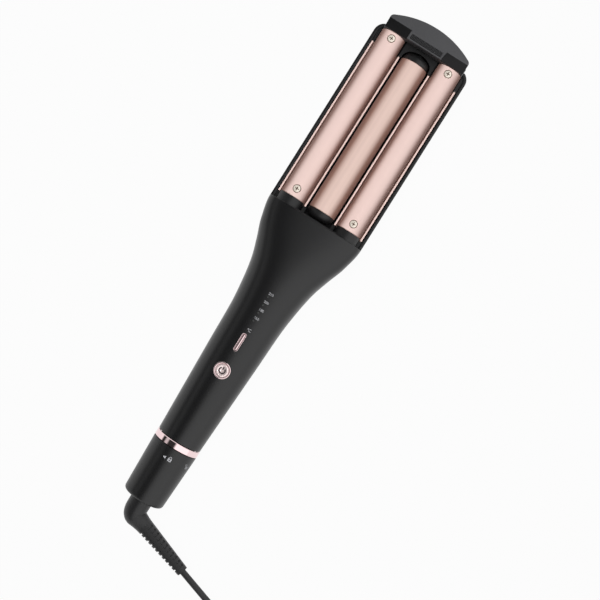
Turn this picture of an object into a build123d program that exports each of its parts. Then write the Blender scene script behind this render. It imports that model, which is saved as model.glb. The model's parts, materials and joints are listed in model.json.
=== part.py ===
from build123d import *
import math
import os

# Hair waver with three barrels, closed and locked, lying on the flat of its rear arm.
# +Y runs from the cord end to the tip, +Z to the front face with the buttons, +X to the
# right of someone who looks at the front face. Lengths are in millimetres. Stations named
# T_... are measured along the tool from the lower face of the lock collar.

# ---------------------------------------------------------------- overall sizes
LENGTH = 333.5          # lower face of the collar to the apex of the tip cap
AXIS_Z = 15.4           # height of the axis of the collar, ring and cord exit
WALL = 2.0              # wall of the two arm shells
PART_GAP = 0.3          # between the two arms at their parting line
FIT = 0.25              # clearance of an inner piece to the shell around it
SCREW_R = 1.1           # thread radius of the case screws
SCREW_HEAD_R = 2.3
SCREW_HEAD_H = 1.3
BARREL_R = 7.9
PITCH = 19.9                # between the centre barrel and each outer barrel
JAW_HALF = PITCH + BARREL_R + 4.5

# Outline of both arms: station, half width, parting height, front height, squareness
OUTLINE = [
    (42.3, 14.6, 15.4, 30.0, 2.00),
    (75.0, 15.9, 15.4, 31.0, 2.10),
    (105.0, 17.1, 15.4, 32.0, 2.20),
    (130.0, 18.0, 15.4, 33.0, 2.30),
    (147.0, 19.8, 15.7, 34.0, 2.40),
    (160.0, 22.0, 17.2, 34.9, 2.50),
    (172.0, 25.6, 19.8, 35.7, 2.65),
    (184.0, 29.7, 22.8, 36.4, 2.85),
    (198.5, JAW_HALF, 25.2, 37.0, 3.10),
]
T_JAW = OUTLINE[-1][0]      # upper end of the front cover, where the open jaw begins
JAW_RIM_Z = OUTLINE[-1][2]  # rim of the rear shell along the jaw
FLAT_CUT = 0.2              # how far the flat of the back cuts into the rounded section

# ---------------------------------------------------------------- rear arm
T_SHELL = 45.0              # lower edge of the rear shell
T_TIP_WALL = LENGTH - 11.8  # inner face of the wall that closes the shell's tip
T_SHELL_TIP = T_TIP_WALL + WALL
TIP_CORNER_R = 7.0          # plan radius of the shell's tip corners
TIP_BEVEL = 3.5
BLOCK_T = (195.0, 203.4)    # end block at the cord end of the troughs
BLOCK_WALL = 4.8            # its solid part, with the guide slot
TIP_BLOCK_T = (LENGTH - 23.6, T_TIP_WALL - 0.1)
TIP_BUMP_HALF = PITCH - 8.9 # the tip block stands up between the front barrels
TIP_BUMP_Z = 29.0
REAR_BOSSES = [(8.5, 88.0), (22.5, 181.0)]     # x and station of the screw bosses
REAR_BOSS_R = 2.7
FRAME_T = (55.0, 190.0)     # inner plate of the rear handle
PLATE = 2.0                 # thickness of the inner plates of both arms

# ---------------------------------------------------------------- hinge and opening spring
T_HINGE = 50.0
OPEN_ANGLE = 10.0
PIN_R = 2.0
PIN_HALF = 11.3
PIN_FIT = 0.05
EYE_R = 4.2
KNUCKLE_HALF = 6.4
EAR_GAP = 0.3
LEAF_T = (64.0, 92.0)
LEAF_WIDTH = 6.0
LEAF_THICK = 0.6

# ---------------------------------------------------------------- barrels and troughs
BARREL_Z = 27.5
BARREL_WALL = 1.2
BARREL_T = (204.1, LENGTH - 14.6)
CENTRE_R = 8.8
CENTRE_Z = 27.0
CENTRE_T = (205.5, LENGTH - 23.5)
HAIR_GAP = 0.9              # between a front barrel and its trough when closed
TROUGH_WALL = 1.1
TROUGH_T = (BLOCK_T[1], TIP_BLOCK_T[0])
TROUGH_RIM_Z = 26.6
PAD_HALF = 6.0              # flat pad under a trough that the heater is clamped to
PAD_DROP = 2.0
SPIGOT_FIT = 0.1
SPIGOT_L = 11.9
BARREL_CORE_T = (BARREL_T[0] + SPIGOT_L + 1, BARREL_T[1] - SPIGOT_L - 1)
HEATER_HALF = (5.0, 1.3)    # half width and half thickness of a ceramic heater strip
CLAMP_FIT = 0.15
BARREL_SCREW_T = (BARREL_T[0] + 5.1, BARREL_T[1] - 4.2)
BARREL_SCREW_HEAD = 2.2
BARREL_SCREW_SINK = 0.55    # depth of the spot face in the barrel

# ---------------------------------------------------------------- centre barrel drive
LIFT = 6.0                  # how far the centre barrel sinks
TRAVEL = 21.0               # travel of the depth slider
GUIDE_R = 1.75
GUIDE_FIT = 0.2
GUIDE_BASE_Z = 21.5
GUIDE_TIP_Z = 24.0
CAP_R = 8.6
CAP_L = 5.4
CAP_SLOT_HALF = CENTRE_R + 0.5  # slot in the end blocks that the centre barrel's caps sink into
CAP_SLOT_Z = 11.8
CARRIAGE_T = (CENTRE_T[0] + 6.5, CENTRE_T[1] - 6.0)
CARRIAGE_HALF = 4.6
CARRIAGE_SCREW_T = (CARRIAGE_T[0] + 4.0, CARRIAGE_T[1] - 4.0)
CARRIAGE_Z = 16.5
FOOT_T = (CARRIAGE_T[0] + 10.0, CARRIAGE_T[1] - 28.0)  # middle of each foot of the carriage
FOOT_HALF = 2.0
FOOT_Z = 11.2               # underside of a foot at its middle
RAMP_GAP = 0.3
RAMP_HALF = 1.4
RAMP_LEAD = FOOT_HALF + 0.6 # ramp beyond the middle of its foot
BAR_HALF = 4.0
BAR_Z = (2.9, 4.3)
BAR_T = (126.0, CARRIAGE_T[1] - 2.0)

# ---------------------------------------------------------------- depth slider on the back
SLOT_T = (116.8, 155.4)     # pill recess
SLOT_HALF = 6.6
KNOB_T = 146.5
KNOB_L = 15.2
KNOB_HALF = 5.6
KNOB_Z = (0.25, 1.5)
RECESS_Z = 1.7              # floor of the recess
TRACK_Z = 2.6               # inner face of the track
STEM_HALF = (1.6, 3.0)
STEM_FIT = 0.3
SLIDE_FIT = 0.2

# ---------------------------------------------------------------- front jaw
COVER_BOSS = (16.0, 172.0)
COVER_BOSS_R = 2.7
BULKHEAD_T = (190.3, 199.0)
BOSS_R = 8.15
BOSS_CORE_R = 5.0
CAP_FACE_Z = 38.2           # flat front of the tip cap
CAP_HALF = PITCH + 7.4
CAP_BODY_Z = 26.2
CAP_LIP_Z = 20.0            # the cap's lip hangs in front of the rear shell's tip
T_CAP_CHORD = LENGTH - 8.9  # where the flat front begins
CAP_CORNER_R = 3.0
CAP_CORNER_T = LENGTH - 8.4
SHOULDER_Z = 35.6           # height of the sloped shoulder at the barrel ends
TAB_HALF = PITCH - 7.8      # middle part that reaches down between the barrels
GRIP_HALF = TAB_HALF - 1.5
GRIP_T = (BARREL_T[1] + 1.2, BARREL_T[1] + 4.0)
GRIP_DEPTH = 1.2
GRIP_RIBS = 24

# ---------------------------------------------------------------- buttons and board
T_POWER = 93.4
POWER_R = 4.1
POWER_RING_R = 5.15
T_TEMP = 113.5
TEMP_L = 11.0
TEMP_HALF = 0.8
TEMP_RING = 0.5             # width of the bright rim round the temperature button
BUTTON_FIT = 0.15
BUTTON_PROUD = 0.4
PRESS = 0.7
BOARD_T = (68.0, 156.0)
BOARD_HALF = 8.5
BOARD_Z = 21.5
BOARD_THICK = 1.6
BOARD_POSTS = [(0.0, 72.0), (0.0, 151.5)]
SWITCH_H = 2.4
PLUNGER_H = 0.5
LAMP_T = [131.1 - 2.4 + 5.55 * i for i in range(4)]
LAMP_R = 0.45
T_DETENT = 172.0            # where the detent spring's bump touches the lift bar
DETENT_Z = 6.2
WIRE_R = 0.8
WIRE_X = 15.9               # where the heater leads pass the end block
WIRE_Z = 14.8

# ---------------------------------------------------------------- collar, ring, cord exit
COLLAR_R = (13.4, 14.8)     # at its lower face and at its upper end
COLLAR_TOP = 37.6
COLLAR_FLOOR = 3.0
COLLAR_EDGE = 1.6
RING_T = (37.9, 41.9)
RING_R = 14.9
TAIL_R = 11.4
TAIL_BORE = 9.2
TAIL_T = (3.6, 43.5)
COLLAR_BORE = 11.8
LIP_R = 7.4
GROOVE_R = 12.9
GROOVE_T = (22.0, 31.0)
BOLT_T = (23.6, 42.6)
BOLT_TRAVEL = 2.0
BOLT_Z = 5.6                # height of the middle of the lock bolt
NECK_R = 7.1
FLANGE_R = 8.8
FLANGE_T = (7.9, 10.3)

# ---------------------------------------------------------------- cord, from the elbow to the plug
CORD_R = 2.0
ELBOW_T = -11.0
ELBOW_TURN = math.radians(-18)    # direction of the ribbed part in plan
ELBOW_L = 47.0
ELBOW_R = (4.65, 3.65)
CORD_GAP = 0.3              # the strain relief turns with the front arm, the cord lies still
COIL_R = 24.5               # radius of the middle turn
COIL_AT = (86.0, -232.75)   # middle of the coil on the floor, x and y
ENTRY_TURN = math.radians(60)     # where the cord runs into the coil, and out of it
LEAVE_TURN = math.radians(282)
COIL_BUNDLE = 7.8           # half thickness of the bundle of turns
TIE_FIT = 0.4               # between the strap and the curved bundle
TIE_THICK = 0.8
TIE_WIDTH = 8.0
COIL_Z = COIL_BUNDLE + TIE_FIT + TIE_THICK + 0.1
PLUG_Z = 7.0
PLUG_L = 36.0
PLUG_HALF = (17.6, 6.85)    # half width and half thickness at the pins
PLUG_NECK = (5.0, 4.5)      # the same where the cord enters
PLUG_END = (45.0, -265.35)  # where the cord enters the plug, x and y
PLUG_PIN_R = 2.0
PLUG_PIN_L = 19.0
PLUG_PIN_SPACING = 18.6
TIE_TURN = 150.0            # where the strap goes round the bundle


# ================================================================ helpers
def at(t):
    """Y of a station."""
    return t - LENGTH / 2


def block(x0, x1, t0, t1, z0, z1):
    middle = Pos((x0 + x1) / 2, at((t0 + t1) / 2), (z0 + z1) / 2)
    return middle * Box(abs(x1 - x0), abs(t1 - t0), abs(z1 - z0))


def rod(radius, t0, t1, x=0.0, z=AXIS_Z):
    """Round bar along the tool."""
    return Pos(x, at((t0 + t1) / 2), z) * Rot(90, 0, 0) * Cylinder(radius, abs(t1 - t0))


def cross_rod(radius, x0, x1, t, z):
    """Round bar across the tool."""
    return Pos((x0 + x1) / 2, at(t), z) * Rot(0, 90, 0) * Cylinder(radius, abs(x1 - x0))


def post(radius, z0, z1, x, t):
    """Upright round bar."""
    return Pos(x, at(t), (z0 + z1) / 2) * Cylinder(radius, abs(z1 - z0))


def pill(half, t0, t1, z0, z1, x=0.0):
    """Upright body with a pill outline from t0 to t1."""
    outline = Pos(x, at((t0 + t1) / 2)) * Rot(0, 0, 90) * SlotOverall(t1 - t0, 2 * half)
    return Pos(0, 0, z0) * extrude(outline, z1 - z0)


def across(points, x0, x1):
    """Body with the given outline of (station, z) points, from x0 to x1."""
    lines = Polyline(*[(0, at(t), z) for t, z in points], close=True)
    return Pos(x0, 0, 0) * extrude(make_face(lines), x1 - x0, dir=(1, 0, 0))


def outline_at(t):
    """Half width, parting height, front height and squareness at a station, in straight steps."""
    if t >= OUTLINE[-1][0]:
        return OUTLINE[-1][1:]
    upper = next(i for i, row in enumerate(OUTLINE) if row[0] > t)
    upper = max(upper, 1)
    a, b = OUTLINE[upper - 1], OUTLINE[upper]
    share = (t - a[0]) / (b[0] - a[0])
    return tuple(p + share * (q - p) for p, q in zip(a[1:], b[1:]))


def half_arc(t, width, base_z, height, squareness):
    """Two curved edges of half a rounded section, above base_z if height is positive or below it."""
    pull = (8 * 2 ** (-1 / squareness) - 4) / 3
    y, top = at(t), base_z + height
    shoulder = base_z + pull * height
    right = Bezier((width, y, base_z), (width, y, shoulder), (pull * width, y, top), (0, y, top))
    left = Bezier((0, y, top), (-pull * width, y, top), (-width, y, shoulder), (-width, y, base_z))
    return [right, left]


def front_arc(row, inset):
    t, width, part_z, front_z, square = row
    base = part_z + PART_GAP / 2
    return half_arc(t, width - inset, base, front_z - inset - base, square)


def rear_arc(row, inset):
    t, width, part_z, _, square = row
    base = part_z - PART_GAP / 2
    return half_arc(t, width - inset, base, inset - FLAT_CUT - base, square)


def filled_section(arc, skirt):
    """Face under the arc, carried on by the skirt past the parting line."""
    start, end = arc[0] @ 0, arc[1] @ 1
    if skirt == 0:
        return make_face([*arc, Line(end, start)])
    drop = Vector(0, 0, skirt)
    low_end, low_start = end + drop, start + drop
    return make_face([*arc, Line(end, low_end), Line(low_end, low_start), Line(low_start, start)])


def front_body(inset):
    """Filled front outline; at an inset it also reaches past the parting line."""
    skirt = -2.0 if inset > 0 else 0.0
    return loft([filled_section(front_arc(row, inset), skirt) for row in OUTLINE], ruled=True)


def rear_body(inset, t_end):
    """Filled rear outline up to a station of the jaw; at an inset it reaches past the parting line."""
    skirt = 2.0 if inset > 0 else 0.0
    faces = [filled_section(rear_arc(row, inset), skirt) for row in OUTLINE]
    handle = loft(faces, ruled=True)
    if t_end > T_JAW:
        return handle + extrude(faces[-1], t_end - T_JAW, dir=(0, 1, 0))
    return handle


def plate(t0, t1, inset, low, high):
    """Plate that follows the parting line, low and high above it."""
    stations = [t0] + [row[0] for row in OUTLINE if t0 < row[0] < t1] + [t1]
    faces = []
    for t in stations:
        width, part_z, _, _ = outline_at(t)
        half = width - inset
        corners = [(-half, low), (half, low), (half, high), (-half, high)]
        lines = Polyline(*[(x, at(t), part_z + z) for x, z in corners], close=True)
        faces.append(make_face(lines))
    return loft(faces, ruled=True)


# ================================================================ rear arm
def rear_plate_top(t):
    return outline_at(t)[1] - PART_GAP


def rear_boss_top(t):
    """Under the sloping plate, wherever the boss reaches."""
    return rear_plate_top(t - REAR_BOSS_R) - PLATE - 0.1


def tip_fill(grow):
    """Rounded corners and bevel at the closed end of the rear shell's inside, grown by a clearance."""
    radius = TIP_CORNER_R - WALL - grow
    filled = rear_body(WALL + grow, T_TIP_WALL)
    corner_x = JAW_HALF - TIP_CORNER_R
    corner_t = T_SHELL_TIP - TIP_CORNER_R
    low_t = T_TIP_WALL - 2.6 - 2 * grow
    fill = across([(low_t, 0), (T_TIP_WALL, 0), (T_TIP_WALL, WALL + 2.6 + grow)], -40, 40)
    for side in (-1, 1):
        corner = block(side * corner_x, side * 40, corner_t, T_TIP_WALL, 0, 40)
        fill += corner - post(radius, -1, 41, side * corner_x, corner_t)
    return fill & filled


def rear_shell():
    shell = rear_body(0, T_SHELL_TIP) - rear_body(WALL, T_TIP_WALL)
    shell &= block(-40, 40, T_SHELL, T_SHELL_TIP + 1, 0, 40)
    shell += tip_fill(0.0) & block(-40, 40, T_JAW, T_TIP_WALL, 0, JAW_RIM_Z - PART_GAP / 2)
    plan_size = (2 * JAW_HALF, 2 * (T_SHELL_TIP - T_JAW - 40))
    plan = Pos(0, at(T_JAW + 40)) * RectangleRounded(*plan_size, TIP_CORNER_R)
    corners = block(-40, 40, T_SHELL_TIP - TIP_CORNER_R, T_SHELL_TIP + 1, -1, 40) - extrude(plan, 40)
    shell -= corners
    bevel = [(T_SHELL_TIP - TIP_BEVEL, -0.01), (T_SHELL_TIP + 1, -0.01), (T_SHELL_TIP + 1, TIP_BEVEL + 1)]
    shell -= across(bevel, -40, 40)
    wedge = Pos(0, at(T_HINGE), AXIS_Z - PART_GAP) * Rot(OPEN_ANGLE + 1.5, 0, 0)
    shell -= wedge * Pos(0, -10, 5) * Box(60, 20, 10)
    shell -= pill(SLOT_HALF + SLIDE_FIT, SLOT_T[0] - SLIDE_FIT, SLOT_T[1] + SLIDE_FIT, -1, 5)
    inside = rear_body(WALL / 2, T_JAW)
    for x, t in REAR_BOSSES:
        for side in (-1, 1):
            top = rear_boss_top(t)
            shell += post(REAR_BOSS_R, 1.0, top, side * x, t) & inside
            shell -= post(SCREW_R, top - 7.0, top + 1, side * x, t)
    for side in (-1, 1):
        shell -= rod(BARREL_R + HAIR_GAP, T_TIP_WALL - 1, T_SHELL_TIP + 1, side * PITCH, BARREL_Z)
    spring_post = block(BAR_HALF + 2.2, BAR_HALF + 4.6, T_DETENT - 8, T_DETENT - 4, 1.0, DETENT_Z - 0.05)
    return shell + spring_post


def rear_frame():
    body = plate(FRAME_T[0], FRAME_T[1], WALL + FIT, -PART_GAP - PLATE, -PART_GAP)
    for side in (-1, 1):
        inner = side * (KNUCKLE_HALF + EAR_GAP)
        outer = side * (PIN_HALF + 0.1)
        body += cross_rod(EYE_R, inner, outer, T_HINGE, AXIS_Z)
        body += block(inner, outer, T_HINGE, FRAME_T[0] + 2, AXIS_Z - EYE_R, AXIS_Z - PART_GAP)
    body -= cross_rod(PIN_R + PIN_FIT / 2, -20, 20, T_HINGE, AXIS_Z)
    for x, t in REAR_BOSSES:
        for side in (-1, 1):
            top = rear_plate_top(t)
            body -= post(SCREW_R + 0.15, top - 5, top + 2, side * x, t)
            body -= post(SCREW_HEAD_R + 0.2, top - SCREW_HEAD_H, top + 4, side * x, t)
    slot = block(-LEAF_WIDTH / 2 - 0.4, LEAF_WIDTH / 2 + 0.4, LEAF_T[0] + 6, LEAF_T[1] + 1, 5, 25)
    body -= slot
    return body


def rear_screws():
    made = []
    for x, t in REAR_BOSSES:
        for side in (-1, 1):
            top = rear_plate_top(t) - 0.1
            under = top - SCREW_HEAD_H + 0.2
            shank = post(SCREW_R - 0.05, under - 6.5, under, side * x, t)
            head = post(SCREW_HEAD_R, under, top, side * x, t)
            made.append(shank + head - post(0.8, top - 0.6, top + 1, side * x, t))
    return made


def hinge_pin():
    return cross_rod(PIN_R, -PIN_HALF, PIN_HALF, T_HINGE, AXIS_Z)


def arm_spring():
    """Steel leaf, screwed down at its cord end, that pushes the arms apart."""
    low = AXIS_Z - PART_GAP - PLATE - LEAF_THICK
    high = AXIS_Z + PART_GAP / 2 - LEAF_THICK
    t0, t1 = LEAF_T
    upper = [(t0, low), (t0 + 9, low), (t1 - 5, high), (t1, high - 0.8)]
    lower = [(t, z - LEAF_THICK) for t, z in upper]
    leaf = across(upper + lower[::-1], -LEAF_WIDTH / 2, LEAF_WIDTH / 2)
    return Pos(0, 0, LEAF_THICK - 0.05) * leaf


def cradle_cuts(t0, t1):
    """Room for the two front barrels and their bosses."""
    radius = BOSS_R + 0.6
    return [rod(radius, t0, t1, side * PITCH, BARREL_Z) for side in (-1, 1)]


def inner_profile(t0, t1, top):
    """Block that fills the rear shell's inside between two stations of the jaw."""
    return rear_body(WALL + FIT, t1) & block(-40, 40, t0, t1, 0, top)


def base_block():
    t0, t1 = BLOCK_T
    body = inner_profile(t0, t1, JAW_RIM_Z - 0.3)
    for cut in cradle_cuts(t0 - 1, t1 + 1):
        body -= cut
    body -= block(-CAP_SLOT_HALF, CAP_SLOT_HALF, t0 + BLOCK_WALL, t1 + 1, CAP_SLOT_Z, 40)
    slot_low = GUIDE_BASE_Z - LIFT - GUIDE_R - GUIDE_FIT
    body -= block(-GUIDE_R - GUIDE_FIT, GUIDE_R + GUIDE_FIT, t0 - 1, t1, slot_low, 40)
    body -= block(-BAR_HALF - 0.4, BAR_HALF + 0.4, t0 - 1, t1 + 1, -1, FOOT_Z + 0.9)
    for side in (-1, 1):
        near, far = side * (WIRE_X - 1.6), side * (WIRE_X + 4.0)
        body -= block(near, far, t0 - 1, t1 + 1, WIRE_Z - 2.4, WIRE_Z + 1.6)
    return body


def tip_block():
    t0, t1 = TIP_BLOCK_T
    body = inner_profile(t0, t1, JAW_RIM_Z - 0.3) - tip_fill(FIT)
    body += block(-TIP_BUMP_HALF, TIP_BUMP_HALF, t0, t1, 12, TIP_BUMP_Z)
    for cut in cradle_cuts(t0 - 1, t1 + 1):
        body -= cut
    arch = Pos(0, at(t0 + 1.5)) * Ellipse(CAP_SLOT_HALF, CAP_L + 0.5)
    opening = extrude(arch, 40) + block(-CAP_SLOT_HALF, CAP_SLOT_HALF, t0 - 1, t0 + 1.5, 0, 40)
    body -= Pos(0, 0, CAP_SLOT_Z) * opening
    slot_low = GUIDE_TIP_Z - LIFT - GUIDE_R - GUIDE_FIT
    slot_high = GUIDE_TIP_Z + GUIDE_R + GUIDE_FIT
    slot_half = GUIDE_R + GUIDE_FIT
    body -= block(-slot_half, slot_half, t0, t1 - 0.8, slot_low, slot_high)
    return body


def trough(side):
    """Half-round heated trough that one front barrel closes into."""
    t0, t1 = TROUGH_T
    x = side * PITCH
    inner = BARREL_R + HAIR_GAP
    outer = inner + TROUGH_WALL
    body = rod(outer, t0, t1, x, BARREL_Z)
    pad_z = BARREL_Z - outer - PAD_DROP + 1.0
    body += block(x - PAD_HALF, x + PAD_HALF, t0, t1, pad_z, BARREL_Z - inner + 1)
    body -= rod(inner, t0 - 1, t1 + 1, x, BARREL_Z)
    return body & block(-40, 40, t0, t1, 0, TROUGH_RIM_Z)


def trough_heater(side):
    """Ceramic heater strip and its clamp plate under a trough."""
    x = side * PITCH
    top = BARREL_Z - BARREL_R - HAIR_GAP - TROUGH_WALL - PAD_DROP + 1.0 - 0.05
    half, thick = HEATER_HALF
    t0, t1 = TROUGH_T[0] + 6, TROUGH_T[1] - 6
    strip = block(x - half, x + half, t0, t1, top - 2 * thick, top)
    under = top - 2 * thick - 0.05
    clamp = block(x - half - 1, x + half + 1, t0 + 4, t1 - 4, under - 1.5, under)
    return [strip, clamp]


def slider_track():
    """Pill-shaped insert in the back that the knob runs in."""
    t0, t1 = SLOT_T
    body = pill(SLOT_HALF, t0, t1, FLAT_CUT + 0.1, TRACK_Z)
    flange = pill(SLOT_HALF + 1.6, t0 - 1.6, t1 + 1.6, WALL, TRACK_Z)
    body += flange & rear_body(WALL + 0.1, T_JAW)
    body -= pill(SLOT_HALF - 0.6, t0 + 0.6, t1 - 0.6, -1, RECESS_Z)
    half, reach = STEM_HALF
    low = KNOB_T - TRAVEL - reach - STEM_FIT
    high = KNOB_T + reach + STEM_FIT
    return body - block(-half - STEM_FIT, half + STEM_FIT, low, high, -1, 5)


def detent_spring():
    """Bent steel strip beside the lift bar that clicks into its notches."""
    x = BAR_HALF + 1.2
    t0, t1 = T_DETENT - 8, T_DETENT + 8
    low = BAR_Z[0] + 0.1
    high = DETENT_Z + 0.4
    rail = block(x, x + 0.4, t0, t1, low, high)
    bump = post(1.0, low, high, x, T_DETENT) & block(x - 2, x + 0.2, t0, t1, 0, 20)
    foot = block(x, x + 3.4, t0, t0 + 4, DETENT_Z, high)
    return rail + bump + foot


def lock_catch():
    """Steel plate with the hole that the lock bolt points at."""
    t = T_HINGE - 3.8
    plate_z = (3.0, 8.4)
    body = block(-5, 5, t, t + 1.2, *plate_z)
    body -= block(-2.3, 2.3, t - 1, t + 2, BOLT_Z - 1.3, BOLT_Z + 1.3)
    return body + block(-2.4, 2.4, t, t + 8.0, 2.15, 3.1)


# ================================================================ centre barrel
def centre_barrel():
    t0, t1 = CENTRE_T
    body = rod(CENTRE_R, t0, t1, 0, CENTRE_Z)
    body -= rod(CENTRE_R - BARREL_WALL, t0 - 1, t1 + 1, 0, CENTRE_Z)
    for t in CARRIAGE_SCREW_T:
        body -= post(SCREW_R + 0.1, CENTRE_Z - CENTRE_R - 1, CENTRE_Z - 4, 0, t)
    return body


def centre_cap(t_face, way, guide_z):
    """Domed end cap of the centre barrel, with a spigot in the tube and a guide pin."""
    dome = rod(CAP_R, t_face, t_face + way * CAP_L, 0, CENTRE_Z)
    rim_y = at(t_face + way * CAP_L)
    rim = dome.edges().filter_by(GeomType.CIRCLE).sort_by(lambda e: abs(e.center().Y - rim_y))
    dome = fillet(rim[0:1], CAP_L - 1.0)
    spigot = rod(CENTRE_R - BARREL_WALL - SPIGOT_FIT, t_face, t_face - way * 6, 0, CENTRE_Z)
    spigot -= rod(4.0, t_face - way * 1, t_face - way * 7, 0, CENTRE_Z)
    pin_end = t_face + way * (CAP_L + 4.2)
    pin = rod(GUIDE_R, t_face + way * 1.0, pin_end, 0, guide_z)
    return dome + spigot + pin


def carriage():
    """Beam under the centre barrel whose two feet ride on the ramps of the lift bar."""
    t0, t1 = CARRIAGE_T
    body = block(-CARRIAGE_HALF, CARRIAGE_HALF, t0, t1, CARRIAGE_Z, CENTRE_Z - 6)
    body -= rod(CENTRE_R + 0.05, t0 - 1, t1 + 1, 0, CENTRE_Z)
    slope = LIFT / TRAVEL
    for t in FOOT_T:
        low, high = FOOT_Z + slope * FOOT_HALF, FOOT_Z - slope * FOOT_HALF
        foot = [(t - FOOT_HALF, low), (t + FOOT_HALF, high)]
        foot += [(t + FOOT_HALF, CARRIAGE_Z + 0.5), (t - FOOT_HALF, CARRIAGE_Z + 0.5)]
        body += across(foot, -CARRIAGE_HALF + 1, CARRIAGE_HALF - 1)
        peak = FOOT_Z + slope * RAMP_LEAD + LIFT
        crest_t = t - TRAVEL - RAMP_LEAD
        half = RAMP_HALF + 0.5
        body -= block(-half, half, crest_t - 1, crest_t + 6, CARRIAGE_Z - 1, peak)
    for t in CARRIAGE_SCREW_T:
        body -= post(SCREW_R + 0.1, CARRIAGE_Z - 1, CENTRE_Z - 4, 0, t)
    return body


def carriage_screws():
    made = []
    for t in CARRIAGE_SCREW_T:
        head = post(2.0, CARRIAGE_Z - 1.1, CARRIAGE_Z - 0.05, 0, t)
        shank = post(SCREW_R, CARRIAGE_Z - 1.0, CENTRE_Z - CENTRE_R + BARREL_WALL - 0.1, 0, t)
        made.append(head + shank - post(0.8, CARRIAGE_Z - 2, CARRIAGE_Z - 0.6, 0, t))
    return made


def heater_core(x, z, radius, t0, t1):
    """Two half-round aluminium clamps with a ceramic heater strip between them."""
    half, thick = HEATER_HALF
    strip = block(x - half, x + half, t0, t1, z - thick, z + thick)
    made = [strip]
    for way in (-1, 1):
        clamp = rod(radius, t0 + 2, t1 - 2, x, z)
        near = z + way * (thick + 0.05)
        clamp &= block(x - 20, x + 20, t0, t1, near, near + way * 20)
        made.append(clamp)
    return made


def lift_bar():
    t0, t1 = BAR_T
    body = block(-BAR_HALF, BAR_HALF, t0, t1, BAR_Z[0], BAR_Z[1])
    slope = LIFT / TRAVEL
    for t in FOOT_T:
        top = FOOT_Z - RAMP_GAP
        start, end = t - RAMP_LEAD, t + TRAVEL + RAMP_LEAD
        ramp = [(start, BAR_Z[0]), (end, BAR_Z[0])]
        ramp += [(end, top - slope * (end - t)), (start, top - slope * (start - t))]
        body += across(ramp, -RAMP_HALF, RAMP_HALF)
    for i in range(4):
        notch_t = T_DETENT + i * TRAVEL / 3
        body -= post(1.1, 0, 10, BAR_HALF + 0.7, notch_t)
    half, reach = STEM_HALF
    body -= block(-half - 0.05, half + 0.05, KNOB_T - reach - 0.05, KNOB_T + reach + 0.05, 0, 10)
    return body


def depth_knob():
    """Pill-shaped knob with a thumb ridge, and the stem that carries the lift bar."""
    low, high = KNOB_Z
    body = pill(KNOB_HALF, KNOB_T - KNOB_L / 2, KNOB_T + KNOB_L / 2, low, high)
    for shift in (-1.6, 1.6):
        body -= block(-KNOB_HALF, KNOB_HALF, KNOB_T + shift - 0.8, KNOB_T + shift + 0.8, -1, low + 0.4)
    half, reach = STEM_HALF
    return body + block(-half, half, KNOB_T - reach, KNOB_T + reach, high - 0.2, BAR_Z[1])


def knob_clip():
    """Steel washer and screw that hold the lift bar on the stem."""
    z = BAR_Z[1] + 0.05
    washer = post(3.6, z, z + 0.6, 0, KNOB_T)
    head = post(1.9, z + 0.6, z + 1.8, 0, KNOB_T)
    return washer + head - post(0.7, z + 1.2, z + 3, 0, KNOB_T)


# ================================================================ front arm
def front_top(t):
    return outline_at(t)[2]


def front_cover():
    body = front_body(0) - front_body(WALL)
    top = front_top(T_POWER)
    body -= post(POWER_RING_R + BUTTON_FIT, top - 6, top + 2, 0, T_POWER)
    half = TEMP_HALF + BUTTON_FIT + TEMP_RING + BUTTON_FIT
    reach = TEMP_L / 2 + half - TEMP_HALF
    body -= pill(half, T_TEMP - reach, T_TEMP + reach, front_top(T_TEMP) - 6, 40)
    for t in LAMP_T:
        body -= post(LAMP_R + 0.05, 25, 40, 0, t)
    inside = front_body(WALL / 2)
    for side in (-1, 1):
        body += cover_boss(side) & inside
    x, t = COVER_BOSS
    low = cover_boss_low()
    for side in (-1, 1):
        body -= post(SCREW_R, low - 1, low + 7, side * x, t)
    return body


def cover_boss_low():
    """Above the sloping plate, wherever the boss reaches."""
    return outline_at(COVER_BOSS[1] + COVER_BOSS_R)[1] + PART_GAP / 2 + PLATE + 0.1


def cover_boss(side):
    x, t = COVER_BOSS
    return post(COVER_BOSS_R, cover_boss_low(), front_top(t) + 1, side * x, t)


def cover_screws():
    made = []
    x, t = COVER_BOSS
    low = outline_at(t)[1] + PART_GAP / 2
    for side in (-1, 1):
        head = post(SCREW_HEAD_R, low + 0.1, low + SCREW_HEAD_H, side * x, t)
        shank = post(SCREW_R - 0.05, low + SCREW_HEAD_H, low + 8, side * x, t)
        made.append(head + shank - post(0.8, low - 1, low + 0.7, side * x, t))
    return made


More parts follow.
